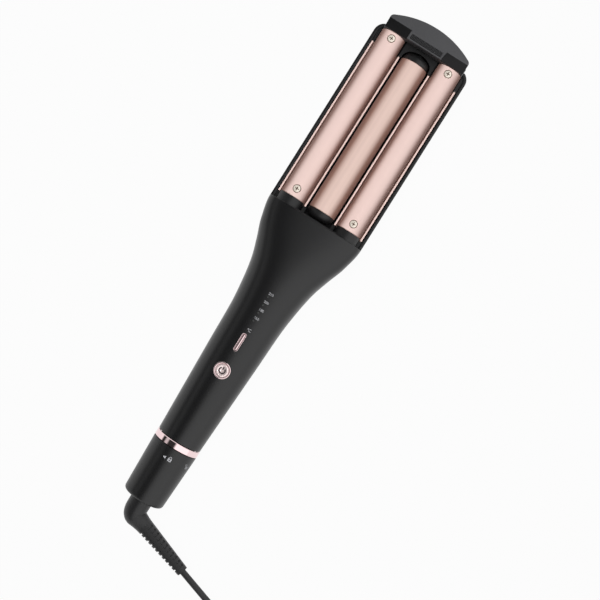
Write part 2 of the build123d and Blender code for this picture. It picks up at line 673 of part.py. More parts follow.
def front_chassis():
    """Inner plate of the front handle, with the hinge knuckle and the tube that the collar turns on."""
    low = PART_GAP / 2
    body = plate(60.0, 189.8, WALL + FIT, low, low + PLATE)
    tail = rod(TAIL_R, TAIL_T[0], TAIL_T[1]) - rod(TAIL_BORE, TAIL_T[0] - 1, TAIL_T[1] + 1)
    lip = rod(TAIL_BORE + 0.5, TAIL_T[0], FLANGE_T[0] - 0.2) - rod(LIP_R, 0, FLANGE_T[0])
    flange = rod(TAIL_R + 0.5, RING_T[1] + 0.1, TAIL_T[1]) - rod(TAIL_BORE, 40, 45)
    body += tail + lip + flange
    roof_z = AXIS_Z + EYE_R + 0.7
    roof = rod(TAIL_R, TAIL_T[1] - 0.5, 62.0) - rod(TAIL_BORE, 40, 59.0)
    body += roof & block(-20, 20, 40, 62, roof_z, 40)
    web = rod(TAIL_R, 58.5, 62.0) & block(-20, 20, 58, 62, AXIS_Z + low, 40)
    body += web
    hanger = block(-KNUCKLE_HALF, KNUCKLE_HALF, T_HINGE - 2.5, T_HINGE + 2.5, AXIS_Z, AXIS_Z + 9.4)
    knuckle = hanger + cross_rod(EYE_R, -KNUCKLE_HALF, KNUCKLE_HALF, T_HINGE, AXIS_Z)
    body += knuckle
    body -= cross_rod(PIN_R + PIN_FIT, -20, 20, T_HINGE, AXIS_Z)
    for x, t in BOARD_POSTS:
        base = outline_at(t)[1] + low + PLATE
        body += post(2.4, base - 0.5, BOARD_Z - 0.05, x, t)
        body -= post(SCREW_R, BOARD_Z - 3.5, BOARD_Z + 1, x, t)
    x, t = COVER_BOSS
    for side in (-1, 1):
        z = outline_at(t)[1] + low
        body -= post(SCREW_R + 0.15, z - 3, z + 5, side * x, t)
        body -= post(SCREW_HEAD_R + 0.2, z - 3, z + SCREW_HEAD_H, side * x, t)
    bolt_room = block(-2.3, 2.3, BOLT_T[0] - BOLT_TRAVEL - 0.3, 46, 0, AXIS_Z - TAIL_BORE + 0.4)
    body -= bolt_room & rod(TAIL_R + 1, BOLT_T[0] - BOLT_TRAVEL - 0.3, 46)
    return body


def jaw_base():
    """Bulkhead in the cover's mouth that carries the two front barrels on spigots."""
    t0, t1 = BULKHEAD_T
    filled = front_body(WALL + FIT) & block(-40, 40, t0, T_JAW, 0, 60)
    body = filled & block(-40, 40, t0, t1, JAW_RIM_Z + 0.5, 60)
    spigot_r = BARREL_R - BARREL_WALL - SPIGOT_FIT
    for side in (-1, 1):
        x = side * PITCH
        body += rod(BOSS_R, T_JAW + 0.1, BARREL_T[0] - 0.05, x, BARREL_Z)
        body += rod(BOSS_CORE_R, t0 + 1, T_JAW + 1, x, BARREL_Z)
        body += rod(spigot_r, T_JAW + 1, BARREL_T[0] + SPIGOT_L, x, BARREL_Z)
    body += block(-PITCH, PITCH, t1 - 3, T_JAW + 0.8, BARREL_Z - 1.5, BARREL_Z + 6.0)
    for side in (-1, 1):
        x = side * PITCH
        body -= rod(3.6, t0 - 1, BARREL_T[0] + SPIGOT_L + 1, x, BARREL_Z)
        body -= barrel_screw_hole(x, BARREL_SCREW_T[0])
    return body


def barrel_screw_hole(x, t):
    return post(1.0, BARREL_Z + 2, BARREL_Z + BARREL_R + 1, x, t)


def barrel(side):
    x = side * PITCH
    t0, t1 = BARREL_T
    body = rod(BARREL_R, t0, t1, x, BARREL_Z)
    body -= rod(BARREL_R - BARREL_WALL, t0 - 1, t1 + 1, x, BARREL_Z)
    top = BARREL_Z + BARREL_R
    for t in BARREL_SCREW_T:
        body -= post(1.15, top - 3, top + 1, x, t)
        body -= post(BARREL_SCREW_HEAD + 0.15, top - BARREL_SCREW_SINK, top + 2, x, t)
    return body


def barrel_screws():
    made = []
    top = BARREL_Z + BARREL_R - BARREL_SCREW_SINK + 0.05
    for side in (-1, 1):
        for t in BARREL_SCREW_T:
            x = side * PITCH
            head = post(BARREL_SCREW_HEAD, top, top + 0.9, x, t)
            shank = post(0.95, top - 3.8, top, x, t)
            made.append(head + shank - cross_recess(x, t, top + 0.9))
    return made


def cross_recess(x, t, z):
    bars = block(x - 1.2, x + 1.2, t - 0.25, t + 0.25, z - 0.6, z + 1)
    return bars + block(x - 0.25, x + 0.25, t - 1.2, t + 1.2, z - 0.6, z + 1)


def cap_plan():
    """Plan outline of the tip cap: straight sides, round corners and a wide arc."""
    base = at(BARREL_T[1] + 0.05)
    side_top = at(CAP_CORNER_T)
    corner = (CAP_HALF - CAP_CORNER_R * 0.8, at(CAP_CORNER_T) + CAP_CORNER_R * 0.8)
    apex = (0, at(LENGTH))
    left = (-corner[0], corner[1])
    lines = [
        Line((-CAP_HALF, base), (CAP_HALF, base)),
        Line((CAP_HALF, base), (CAP_HALF, side_top)),
        TangentArc((CAP_HALF, side_top), corner, tangent=(0, 1)),
        ThreePointArc(corner, apex, left),
        TangentArc((-CAP_HALF, side_top), left, tangent=(0, 1)),
        Line((-CAP_HALF, side_top), (-CAP_HALF, base)),
    ]
    return make_face(lines)


def tip_cap():
    body = Pos(0, 0, CAP_BODY_Z) * extrude(cap_plan(), CAP_FACE_Z - CAP_BODY_Z)
    lip = Pos(0, 0, CAP_LIP_Z) * extrude(cap_plan(), CAP_BODY_Z - CAP_LIP_Z + 1)
    body += lip & block(-40, 40, T_SHELL_TIP + 0.6, LENGTH + 1, 0, 60)
    start, over = BARREL_T[1] - 1, CAP_FACE_Z + 2
    shoulder = [(start, SHOULDER_Z), (start + 1, SHOULDER_Z)]
    shoulder += [(T_CAP_CHORD, CAP_FACE_Z), (T_CAP_CHORD, over), (start, over)]
    body -= across(shoulder, -40, -TAB_HALF)
    body -= across(shoulder, TAB_HALF, 40)
    body -= block(-TAB_HALF, TAB_HALF, start, T_SHELL_TIP + 0.6, 0, TIP_BUMP_Z + 0.8)
    spigot_r = BARREL_R - BARREL_WALL - SPIGOT_FIT
    for side in (-1, 1):
        x = side * PITCH
        body += rod(BARREL_R, BARREL_T[1] + 0.05, T_SHELL_TIP + 0.6, x, BARREL_Z)
        body += rod(spigot_r, BARREL_T[1] - SPIGOT_L, BARREL_T[1] + 1, x, BARREL_Z)
        body -= barrel_screw_hole(x, BARREL_SCREW_T[1])
    low, high = GRIP_T
    half, pocket = GRIP_HALF + 0.1, CAP_FACE_Z - GRIP_DEPTH
    body -= block(-half, half, low - 0.1, high + 0.1, pocket, CAP_FACE_Z + 1)
    return body


def tip_grip():
    low, high = GRIP_T
    base = CAP_FACE_Z - GRIP_DEPTH + 0.05
    body = block(-GRIP_HALF, GRIP_HALF, low, high, base, base + 0.5)
    step = 2 * GRIP_HALF / GRIP_RIBS
    for i in range(GRIP_RIBS):
        x = -GRIP_HALF + (i + 0.5) * step
        body += block(x - step / 4, x + step / 4, low, high, base + 0.4, CAP_FACE_Z - 0.1)
    return body


def power_ring():
    top = front_top(T_POWER) + BUTTON_PROUD
    ring = post(POWER_RING_R, top - 3.2, top, 0, T_POWER)
    return ring - post(POWER_R + BUTTON_FIT, top - 5, top + 1, 0, T_POWER)


def temp_ring():
    half = TEMP_HALF + BUTTON_FIT + TEMP_RING
    reach = TEMP_L / 2 + BUTTON_FIT + TEMP_RING
    top = front_top(T_TEMP) + BUTTON_PROUD - 0.1
    ring = pill(half, T_TEMP - reach, T_TEMP + reach, top - 3.0, top)
    inner = TEMP_HALF + BUTTON_FIT
    reach = TEMP_L / 2 + BUTTON_FIT
    return ring - pill(inner, T_TEMP - reach, T_TEMP + reach, top - 5, top + 1)


def switch_top():
    return BOARD_Z + BOARD_THICK + 0.05 + SWITCH_H + PLUNGER_H


def power_button():
    top = front_top(T_POWER) + BUTTON_PROUD - 0.1
    cap = post(POWER_R, top - 3.6, top, 0, T_POWER)
    flange = post(POWER_R + 0.7, top - 4.8, top - 4.2, 0, T_POWER)
    stem = post(1.5, switch_top() + PRESS + 0.1, top - 3, 0, T_POWER)
    return cap + flange + stem


def temp_button():
    top = front_top(T_TEMP) + BUTTON_PROUD - 0.15
    cap = pill(TEMP_HALF, T_TEMP - TEMP_L / 2, T_TEMP + TEMP_L / 2, top - 4.0, top)
    flange = pill(TEMP_HALF + 0.9, T_TEMP - 6.2, T_TEMP + 6.2, top - 5.0, top - 4.2)
    stem = post(1.2, switch_top() + PRESS + 0.1, top - 4.2, 0, T_TEMP)
    neck = pill(TEMP_HALF, T_TEMP - 3, T_TEMP + 3, top - 4.6, top - 3.9)
    return cap + flange + stem + neck


def control_board():
    body = block(-BOARD_HALF, BOARD_HALF, BOARD_T[0], BOARD_T[1], BOARD_Z, BOARD_Z + BOARD_THICK)
    for x, t in BOARD_POSTS:
        body -= post(SCREW_R + 0.1, BOARD_Z - 1, BOARD_Z + 3, x, t)
    return body


def board_screws():
    made = []
    top = BOARD_Z + BOARD_THICK + 0.05
    for x, t in BOARD_POSTS:
        screw = post(2.0, top, top + 1.1, x, t) + post(SCREW_R - 0.05, top - 4.6, top, x, t)
        made.append(screw - post(0.7, top + 0.6, top + 2, x, t))
    return made


def board_switches():
    made = []
    top = BOARD_Z + BOARD_THICK + 0.05
    for t in (T_POWER, T_TEMP):
        case = block(-3, 3, t - 3, t + 3, top, top + SWITCH_H)
        made.append(case + post(1.6, top + SWITCH_H - 0.1, top + SWITCH_H + PLUNGER_H, 0, t))
    return made


def board_chips():
    """Triac, capacitor, fuse and controller on the board."""
    top = BOARD_Z + BOARD_THICK + 0.05
    triac = block(-7.4, -3.4, 78, 88, top, top + 3.2)
    fuse = Pos(5.6, at(83), top + 1.6) * Rot(90, 0, 0) * Cylinder(1.6, 9.0)
    capacitor = Pos(5.4, at(103.6), top + 2.2) * Rot(90, 0, 0) * Cylinder(2.2, 9.0)
    controller = block(-3.2, 3.2, 119.8, 126.2, top, top + 1.2)
    connector = block(-7.4, -3.0, 140, 150, top, top + 3.6)
    return [triac, fuse, capacitor, controller, connector]


def lamp_pipes():
    """Four light pipes that bring the lamps on the board to the front."""
    made = []
    low = BOARD_Z + BOARD_THICK + 0.05
    for t in LAMP_T:
        lamp = block(-0.8, 0.8, t - 0.5, t + 0.5, low, low + 0.8)
        pipe = post(LAMP_R, low + 0.7, front_top(t) - 0.02, 0, t)
        made.append(lamp + pipe)
    return made


def wire(points, radius, bend):
    path = FilletPolyline(*[(x, at(t), z) for x, t, z in points], radius=bend)
    start = Plane(origin=path @ 0, z_dir=path % 0)
    return sweep(start * Circle(radius), path)


def front_wires():
    """Leads from the board's connector end into the two front barrels."""
    made = []
    z = BOARD_Z + BOARD_THICK + 1.2
    for side in (-1, 1):
        for shift in (-1.2, 1.2):
            x = side * PITCH
            path = [(side * 4.6 + shift, 157.0, z + 1), (side * 7 + shift, 171.0, z + 2.5)]
            path += [(x + shift, 186.0, BARREL_Z), (x + shift, BARREL_CORE_T[0] - 0.05, BARREL_Z)]
            made.append(wire(path, WIRE_R, 4.0))
    return made


def rear_wires():
    """Leads along the rear handle to the heaters of the troughs."""
    made = []
    for side in (-1, 1):
        for shift in (0.0, 2.2):
            x = 11.2 + shift if side > 0 else -11.2 - shift
            far = side * (WIRE_X + shift)
            z = WIRE_Z - shift / 2
            path = [(side * (9.8 + shift / 4), 96.0, z - 4.6), (x, 150.0, z - 5.4)]
            path += [(far, 190.0, z), (far, TROUGH_T[0] + 5.9, z)]
            made.append(wire(path, WIRE_R, 6.0))
    return made


def collar_ring():
    return rod(RING_R, RING_T[0], RING_T[1]) - rod(TAIL_R + 0.05, RING_T[0] - 1, RING_T[1] + 1)


def lock_collar():
    r0, r1 = COLLAR_R
    cone = Pos(0, at(COLLAR_TOP / 2), AXIS_Z) * Rot(-90, 0, 0) * Cone(r0, r1, COLLAR_TOP)
    low = cone.edges().filter_by(GeomType.CIRCLE).sort_by(Axis.Y)[0:1]
    body = fillet(low, COLLAR_EDGE)
    body -= rod(COLLAR_BORE, COLLAR_FLOOR, COLLAR_TOP + 1)
    body -= rod(NECK_R + 0.4, -1, COLLAR_FLOOR + 1)
    return body - rod(GROOVE_R, GROOVE_T[0], GROOVE_T[1])


def lock_bolt():
    """Bolt that the turning collar draws back; it lies in a slot of the chassis tube."""
    body = block(-1.9, 1.9, BOLT_T[0], BOLT_T[1], BOLT_Z - 0.9, BOLT_Z + 0.9)
    return body + post(1.3, 3.1, BOLT_Z, 0, BOLT_T[0] + 2.2)


# ================================================================ cord
def cord_point(along):
    """A point on the ribbed part of the strain relief, measured from the middle of the elbow."""
    return (math.cos(ELBOW_TURN) * along, at(ELBOW_T) + math.sin(ELBOW_TURN) * along, AXIS_Z)


def cord_elbow():
    """Moulded strain relief: round neck, elbow and tapering ribbed part."""
    neck = rod(NECK_R, ELBOW_T, FLANGE_T[1])
    flange = rod(FLANGE_R, FLANGE_T[0], FLANGE_T[1])
    ball = Pos(0, at(ELBOW_T), AXIS_Z) * Sphere(NECK_R)
    r0, r1 = ELBOW_R
    way = (math.cos(ELBOW_TURN), math.sin(ELBOW_TURN), 0)
    line = Plane(origin=cord_point(ELBOW_L / 2), z_dir=way)
    sleeve = line * Cone(r0 + 0.5, r1, ELBOW_L)
    return neck + flange + ball + sleeve


def cord_retainer():
    """Ring pressed into the chassis tube above the strain relief's flange."""
    low = FLANGE_T[1] + 0.2
    return rod(TAIL_BORE - 0.02, low, low + 1.6) - rod(6.0, low - 1, low + 3)


def coil_point(turn):
    """A point on the middle line of the coil."""
    return (COIL_AT[0] + COIL_R * math.cos(turn), COIL_AT[1] + COIL_R * math.sin(turn), COIL_Z)


def cord_route():
    """Points of the cord from the strain relief to the coil, chosen by hand."""
    return [
        cord_point(ELBOW_L + CORD_GAP),
        cord_point(ELBOW_L + 13.5),
        (71.5, -201.4, 13.6),
        (85.0, -206.1, 11.2),
        coil_point(ENTRY_TURN),
    ]


def corner_radii(points):
    """For each corner, 0.45 of the shorter run divided by the tangent of half the turn."""
    radii = []
    for a, b, c in zip(points, points[1:], points[2:]):
        before = Vector(*b) - Vector(*a)
        after = Vector(*c) - Vector(*b)
        turn = math.radians(before.get_angle(after))
        radii.append(0.45 * min(before.length, after.length) / math.tan(turn / 2))
    return radii


def cord_tube(name, points):
    radii = corner_radii(points)
    print(name, "corner radii", [round(r, 1) for r in radii])
    path = FilletPolyline(*points, radius=radii)
    start = Plane(origin=path @ 0, z_dir=path % 0)
    body = sweep(start * Circle(CORD_R), path)
    expected = math.pi * CORD_R**2 * path.length
    print(name, "length", round(path.length, 1))
    print(name, "volume over section x length", round(body.volume / expected, 4))
    coil = Pos(*COIL_AT, COIL_Z) * Torus(COIL_R, COIL_BUNDLE + 0.05)
    return (body - coil).solids().sort_by(SortBy.VOLUME)[-1]


def tail_route():
    """Points of the cord from the coil to the plug, chosen by hand."""
    x, y = PLUG_END
    return [
        coil_point(LEAVE_TURN),
        (79.4, -259.9, 8.4),
        (67.6, -263.4, 7.6),
        (x + 11.0, y, PLUG_Z),
        (x, y, PLUG_Z),
    ]


def cord_coil():
    """Closed outer shape of the coiled turns."""
    return Pos(*COIL_AT, COIL_Z) * Torus(COIL_R, COIL_BUNDLE)


def cord_tie():
    """Strap that holds the turns of the coil together."""
    lie = Pos(*coil_point(math.radians(TIE_TURN))) * Rot(0, 0, TIE_TURN) * Rot(90, 0, 0)
    inner = COIL_BUNDLE + TIE_FIT
    return lie * (Cylinder(inner + TIE_THICK, TIE_WIDTH) - Cylinder(inner, TIE_WIDTH + 2))


def plug_body():
    """Flat two-pin plug, wide at the pins and narrow where the cord enters."""
    x, y = PLUG_END
    wide, thick = PLUG_HALF
    neck_wide, neck_thick = PLUG_NECK
    sizes = [(0, neck_wide, neck_thick), (9.0, neck_wide + 1, neck_thick + 0.6)]
    sizes += [(PLUG_L - 10.0, wide, thick), (PLUG_L, wide, thick)]
    faces = []
    for back, half_w, half_t in sizes:
        seat = Plane(origin=(x - back, y, PLUG_Z), x_dir=(0, 1, 0), z_dir=(-1, 0, 0))
        faces.append(seat * RectangleRounded(2 * half_w, 2 * half_t, 3.0))
    return loft([f.face() for f in faces], ruled=True)


def plug_pins():
    x, y = PLUG_END
    made = []
    for side in (-1, 1):
        middle = Pos(x - PLUG_L - PLUG_PIN_L / 2, y + side * PLUG_PIN_SPACING / 2, PLUG_Z)
        made.append(middle * Rot(0, 90, 0) * Cylinder(PLUG_PIN_R, PLUG_PIN_L))
    return made


# ================================================================ write every node
def solids_of(piece):
    """Every solid of a piece, so that a group of pieces becomes one node."""
    if isinstance(piece, (list, tuple)):
        return [s for part in piece for s in solids_of(part)]
    return list(piece.solids())


def write(name, piece):
    solids = solids_of(piece)
    shape = solids[0] if len(solids) == 1 else Compound(children=solids)
    export_step(shape, f"parts/{name}.step")


def main():
    os.makedirs("parts", exist_ok=True)
    sides = {"left": -1, "right": 1}
    barrel_bore = BARREL_R - BARREL_WALL - CLAMP_FIT
    centre_bore = CENTRE_R - BARREL_WALL - CLAMP_FIT
    nodes = {
        "rear_shell": rear_shell(),
        "rear_frame": rear_frame(),
        "rear_screws": rear_screws(),
        "base_block": base_block(),
        "tip_block": tip_block(),
        "slider_track": slider_track(),
        "detent_spring": detent_spring(),
        "lock_catch": lock_catch(),
        "hinge_pin": hinge_pin(),
        "arm_spring": arm_spring(),
        "rear_wires": rear_wires(),
        "centre_barrel": centre_barrel(),
        "centre_heater": heater_core(0, CENTRE_Z, centre_bore, CENTRE_T[0] + 7, CENTRE_T[1] - 7),
        "centre_cap_base": centre_cap(CENTRE_T[0], -1, GUIDE_BASE_Z),
        "centre_cap_tip": centre_cap(CENTRE_T[1], 1, GUIDE_TIP_Z),
        "centre_carriage": carriage(),
        "carriage_screws": carriage_screws(),
        "lift_bar": lift_bar(),
        "depth_knob": depth_knob(),
        "knob_clip": knob_clip(),
        "front_cover": front_cover(),
        "front_chassis": front_chassis(),
        "cover_screws": cover_screws(),
        "jaw_base": jaw_base(),
        "tip_cap": tip_cap(),
        "tip_grip": tip_grip(),
        "barrel_screws": barrel_screws(),
        "control_board": control_board(),
        "board_screws": board_screws(),
        "board_switches": board_switches(),
        "board_chips": board_chips(),
        "lamp_pipes": lamp_pipes(),
        "front_wires": front_wires(),
        "power_ring": power_ring(),
        "power_button": power_button(),
        "temp_ring": temp_ring(),
        "temp_button": temp_button(),
        "collar_ring": collar_ring(),
        "lock_collar": lock_collar(),
        "lock_bolt": lock_bolt(),
        "cord_elbow": cord_elbow(),
        "cord_retainer": cord_retainer(),
        "power_cord": cord_tube("power_cord", cord_route()),
        "cord_coil": cord_coil(),
        "cord_tail": cord_tube("cord_tail", tail_route()),
        "cord_tie": cord_tie(),
        "plug_body": plug_body(),
        "plug_pins": plug_pins(),
    }
    for name, side in sides.items():
        x = side * PITCH
        nodes[f"{name}_barrel"] = barrel(side)
        nodes[f"{name}_heater"] = heater_core(x, BARREL_Z, barrel_bore, *BARREL_CORE_T)
        nodes[f"{name}_trough"] = trough(side)
        nodes[f"{name}_trough_heater"] = trough_heater(side)
    for name, piece in nodes.items():
        write(name, piece)
    print(len(nodes), "nodes")


main()
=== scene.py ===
# %% [markdown]
# # A hair waver with three barrels
# The tool has two hinged arms. The front arm carries two round heated barrels, the buttons
# and the cord exit. The rear arm is a dark shell with two heated troughs, and a third barrel
# between them that a slider on the back raises or sinks. The measured solids are loaded
# first as a fixed frame. Each visible piece is then modelled again in finer detail, in the
# place of its solid, and the pieces inside keep their solids and get a finish of their own.

# %% Load the frame
import json
import math

import bmesh
import bpy
from mathutils import Matrix, Vector


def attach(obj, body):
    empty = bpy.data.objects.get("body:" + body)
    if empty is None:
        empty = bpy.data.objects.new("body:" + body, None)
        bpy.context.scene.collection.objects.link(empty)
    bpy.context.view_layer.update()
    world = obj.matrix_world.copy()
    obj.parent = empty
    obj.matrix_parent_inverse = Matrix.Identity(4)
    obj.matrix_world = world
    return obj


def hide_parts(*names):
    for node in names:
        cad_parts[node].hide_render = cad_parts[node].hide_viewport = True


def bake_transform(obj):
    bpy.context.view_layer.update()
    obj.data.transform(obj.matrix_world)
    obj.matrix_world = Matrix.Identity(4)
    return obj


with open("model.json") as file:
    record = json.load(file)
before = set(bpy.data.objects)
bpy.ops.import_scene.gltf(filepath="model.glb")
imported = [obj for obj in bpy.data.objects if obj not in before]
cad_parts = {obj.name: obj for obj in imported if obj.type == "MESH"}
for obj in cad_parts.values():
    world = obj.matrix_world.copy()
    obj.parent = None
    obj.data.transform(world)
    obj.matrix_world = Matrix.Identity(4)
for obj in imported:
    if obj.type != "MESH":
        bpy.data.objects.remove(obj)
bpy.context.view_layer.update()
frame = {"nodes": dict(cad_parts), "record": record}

# %% [markdown]
# ## Where things are
# Pieces are worked out in millimetres and made metres at the end. A station is a distance
# along the tool from the lower face of the lock collar, and the middle of the tool is the
# middle of the frame. The handle's axis is a little above the table that the tool lies on.

# %% Stations and main sizes
MM = 0.001
LENGTH = 333.5
AXIS_Z = 15.4
PITCH = 19.9
BARREL_R = 7.9
BARREL_Z = 27.5
BARREL_T = (204.1, 318.9)
CENTRE_R = 8.8
CENTRE_Z = 27.0
CENTRE_T = (205.5, 310.0)


def along(t):
    """Y of a station, in millimetres."""
    return t - LENGTH / 2


print("the tip is at", along(LENGTH), "mm and the collar's end at", along(0), "mm")

# %% [markdown]
# ## Making a piece
# Every piece is drawn in a bmesh, which is Blender's editable mesh. One function turns it
# into an object at the origin, scaled to metres and smooth except at sharp edges. Another
# records which body it moves with, which finish it has and which solid it stands for.


# %% Bmesh to finished piece
SHARP = math.radians(32)


def shade(mesh):
    """Smooth shading, except at sharp edges."""
    mesh.shade_smooth()
    mesh.set_sharp_from_angle(angle=SHARP)


def linked(name, data):
    """A new object of the data, in the scene."""
    item = bpy.data.objects.new(name, data)
    bpy.context.scene.collection.objects.link(item)
    return item


def place(bm, name):
    """A linked object of the bmesh, in metres."""
    mesh = bpy.data.meshes.new(name)
    bm.to_mesh(mesh)
    bm.free()
    mesh.transform(Matrix.Scale(MM, 4))
    shade(mesh)
    return linked(name, mesh)


def settle(piece, body, slot, *nodes):
    """Rides on a body, with a finish, in the place of its solids."""
    piece.data.materials.clear()
    piece.data.materials.append(FINISHES[slot])
    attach(piece, body)
    if nodes:
        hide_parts(*nodes)
    print(piece.name, "faces", len(piece.data.polygons), "on", body)
    return piece


def made(bm, name, *where):
    """A settled piece of the bmesh."""
    return settle(place(bm, name), *where)


def worked_out(item):
    """Mesh of the shape that an object's modifiers or curve settings give."""
    bpy.context.view_layer.update()
    graph = bpy.context.evaluated_depsgraph_get()
    return bpy.data.meshes.new_from_object(item.evaluated_get(graph))


def bake_modifiers(piece):
    """Keeps the shape that the modifiers give, and takes them off."""
    mesh = worked_out(piece)
    piece.modifiers.clear()
    piece.data = mesh
    shade(mesh)
    return piece


def rounded(piece, width, least=30, miter="MITER_SHARP"):
    """Rounds the edges that are sharper than the least angle."""
    soft = piece.modifiers.new("soft", "BEVEL")
    soft.width = width * MM
    soft.segments = 3
    soft.limit_method = "ANGLE"
    soft.angle_limit = math.radians(least)
    soft.miter_outer = miter
    return bake_modifiers(piece)


def carve(piece, *cutters):
    """Cuts other bmeshes out of a piece."""
    tools = [place(bm, "cutter") for bm in cutters]
    for tool in tools:
        cut = piece.modifiers.new("cut", "BOOLEAN")
        cut.operation = "DIFFERENCE"
        cut.solver = "EXACT"
        cut.object = tool
    bake_modifiers(piece)
    for tool in tools:
        bpy.data.objects.remove(tool)
    return piece


def as_bmesh(piece):
    """The piece as a bmesh in millimetres again, without its object."""
    bm = bmesh.new()
    bm.from_mesh(piece.data)
    bmesh.ops.scale(bm, verts=bm.verts, vec=(1 / MM,) * 3)
    bpy.data.objects.remove(piece)
    return bm


# %% [markdown]
# ## Three ways to make a solid
# A turned piece, such as a barrel or a ring, is a profile that is spun about its axis. A
# flat piece, such as a cap, is an outline that is extruded. Edges are softened with a small
# bevel, because a moulded or machined edge is never perfectly sharp and its thin highlight
# is what makes it look real.


# %% Turned pieces
def outward(bm):
    """Turns every face to the outside."""
    bmesh.ops.recalc_face_normals(bm, faces=bm.faces)


def turned(profile, closed=True, steps=96, upright=False):
    """Spins (radius, position) points about Y, or about Z for an upright piece."""
    bm = bmesh.new()
    made = []
    for radius, position in profile:
        spot = (radius, 0, position) if upright else (radius, position, 0)
        made.append(bm.verts.new(spot))
    ends = zip(made, made[1:] + made[:1]) if closed else zip(made, made[1:])
    for a, b in ends:
        bm.edges.new((a, b))
    axis = (0, 0, 1) if upright else (0, 1, 0)
    bmesh.ops.spin(
        bm, geom=bm.verts[:] + bm.edges[:], cent=(0, 0, 0), axis=axis,
        angle=math.tau, steps=steps, use_merge=True,
    )
    bmesh.ops.remove_doubles(bm, verts=bm.verts, dist=1e-4)
    outward(bm)
    return bm


def moved(bm, x=0.0, y=0.0, z=0.0):
    bmesh.ops.translate(bm, verts=bm.verts, vec=(x, y, z))
    return bm


def rotated(bm, angle, axis="Z"):
    turn = Matrix.Rotation(angle, 3, axis)
    bmesh.ops.rotate(bm, verts=bm.verts, cent=(0, 0, 0), matrix=turn)
    return bm


def joined(*several):
    """One bmesh with the pieces of several."""
    whole = bmesh.new()
    for bm in several:
        part = bpy.data.meshes.new("part")
        bm.to_mesh(part)
        bm.free()
        whole.from_mesh(part)
        bpy.data.meshes.remove(part)
    return whole


# %% [markdown]
# A bevel takes only the edges whose faces meet at more than a given angle, so a round
# piece keeps its many small steps.


# %% Extruded pieces and soft edges
def soften(bm, size, least=30, segments=3):
    """Bevels every edge whose faces meet at more than the least angle."""
    sharp = [
        edge for edge in bm.edges
        if len(edge.link_faces) == 2 and edge.calc_face_angle(0) > math.radians(least)
    ]
    bmesh.ops.bevel(
        bm, geom=sharp, offset=size, segments=segments, affect="EDGES",
        profile=0.5, material=-1, clamp_overlap=True,
    )
    return bm


def extruded(bm, *way):
    """Extrudes all faces of a bmesh by a vector."""
    grown = bmesh.ops.extrude_face_region(bm, geom=bm.faces[:])["geom"]
    far = [g for g in grown if isinstance(g, bmesh.types.BMVert)]
    bmesh.ops.translate(bm, verts=far, vec=way)
    outward(bm)
    return bm


def raised(bm, low, high):
    """Extrudes the flat faces of a bmesh from one height to another."""
    for vert in bm.verts:
        vert.co.z = low
    return extruded(bm, 0, 0, high - low)


def outline(points):
    bm = bmesh.new()
    bm.faces.new([bm.verts.new((x, y, 0)) for x, y in points])
    return bm


def pill(half, t0, t1, steps=48):
    """Flat pill along the tool: a disc whose two halves are drawn apart."""
    bm = bmesh.new()
    bmesh.ops.create_circle(bm, cap_ends=True, segments=steps, radius=half)
    rotated(bm, math.pi / steps)
    for vert in bm.verts:
        end = t1 - half if vert.co.y > 0 else t0 + half
        vert.co.y += along(end)
    return bm


def box(x0, x1, t0, t1, z0, z1):
    bm = bmesh.new()
    bmesh.ops.create_cube(bm, size=1.0)
    bmesh.ops.scale(bm, verts=bm.verts, vec=(x1 - x0, t1 - t0, z1 - z0))
    return moved(bm, (x0 + x1) / 2, along((t0 + t1) / 2), (z0 + z1) / 2)


def lathed(profile, x=0.0, z=AXIS_Z, steps=128, closed=True):
    """Turned about a line along the tool, from (radius, station) points."""
    spots = [(radius, along(t)) for radius, t in profile]
    return moved(turned(spots, closed, steps), x, 0, z)


def rod(radius, t0, t1, x=0.0, z=AXIS_Z, steps=64):
    """Round bar along the tool."""
    return lathed([(0, t0), (radius, t0), (radius, t1), (0, t1)], x, z, steps, closed=False)


def post(radius, z0, z1, x, t, steps=48):
    """Upright round bar."""
    profile = [(0, z0), (radius, z0), (radius, z1), (0, z1)]
    return moved(turned(profile, closed=False, steps=steps, upright=True), x, along(t), 0)


# %% [markdown]
# ## Writing a finish
# A finish is a small network of shader nodes. To keep its sums readable, one class wraps a
# node's output, so that an expression such as 1 - mask adds the Math node for it. Every
# other node comes from one method that takes its type, its settings and what goes into it.


# %% Node expressions
class Out:
    """The output of a node. Sums with numbers or other outputs become Math nodes."""

    def __init__(self, paint, socket):
        self.paint = paint
        self.socket = socket

    def math(self, operation, first, second):
        return self.paint.add("Math", {"operation": operation}, {0: first, 1: second})

    def __add__(self, other):
        return self.math("ADD", self, other)

    def __radd__(self, other):
        return self.math("ADD", other, self)

    def __sub__(self, other):
        return self.math("SUBTRACT", self, other)

    def __rsub__(self, other):
        return self.math("SUBTRACT", other, self)

    def __mul__(self, other):
        return self.math("MULTIPLY", self, other)

    def __rmul__(self, other):
        return self.math("MULTIPLY", other, self)


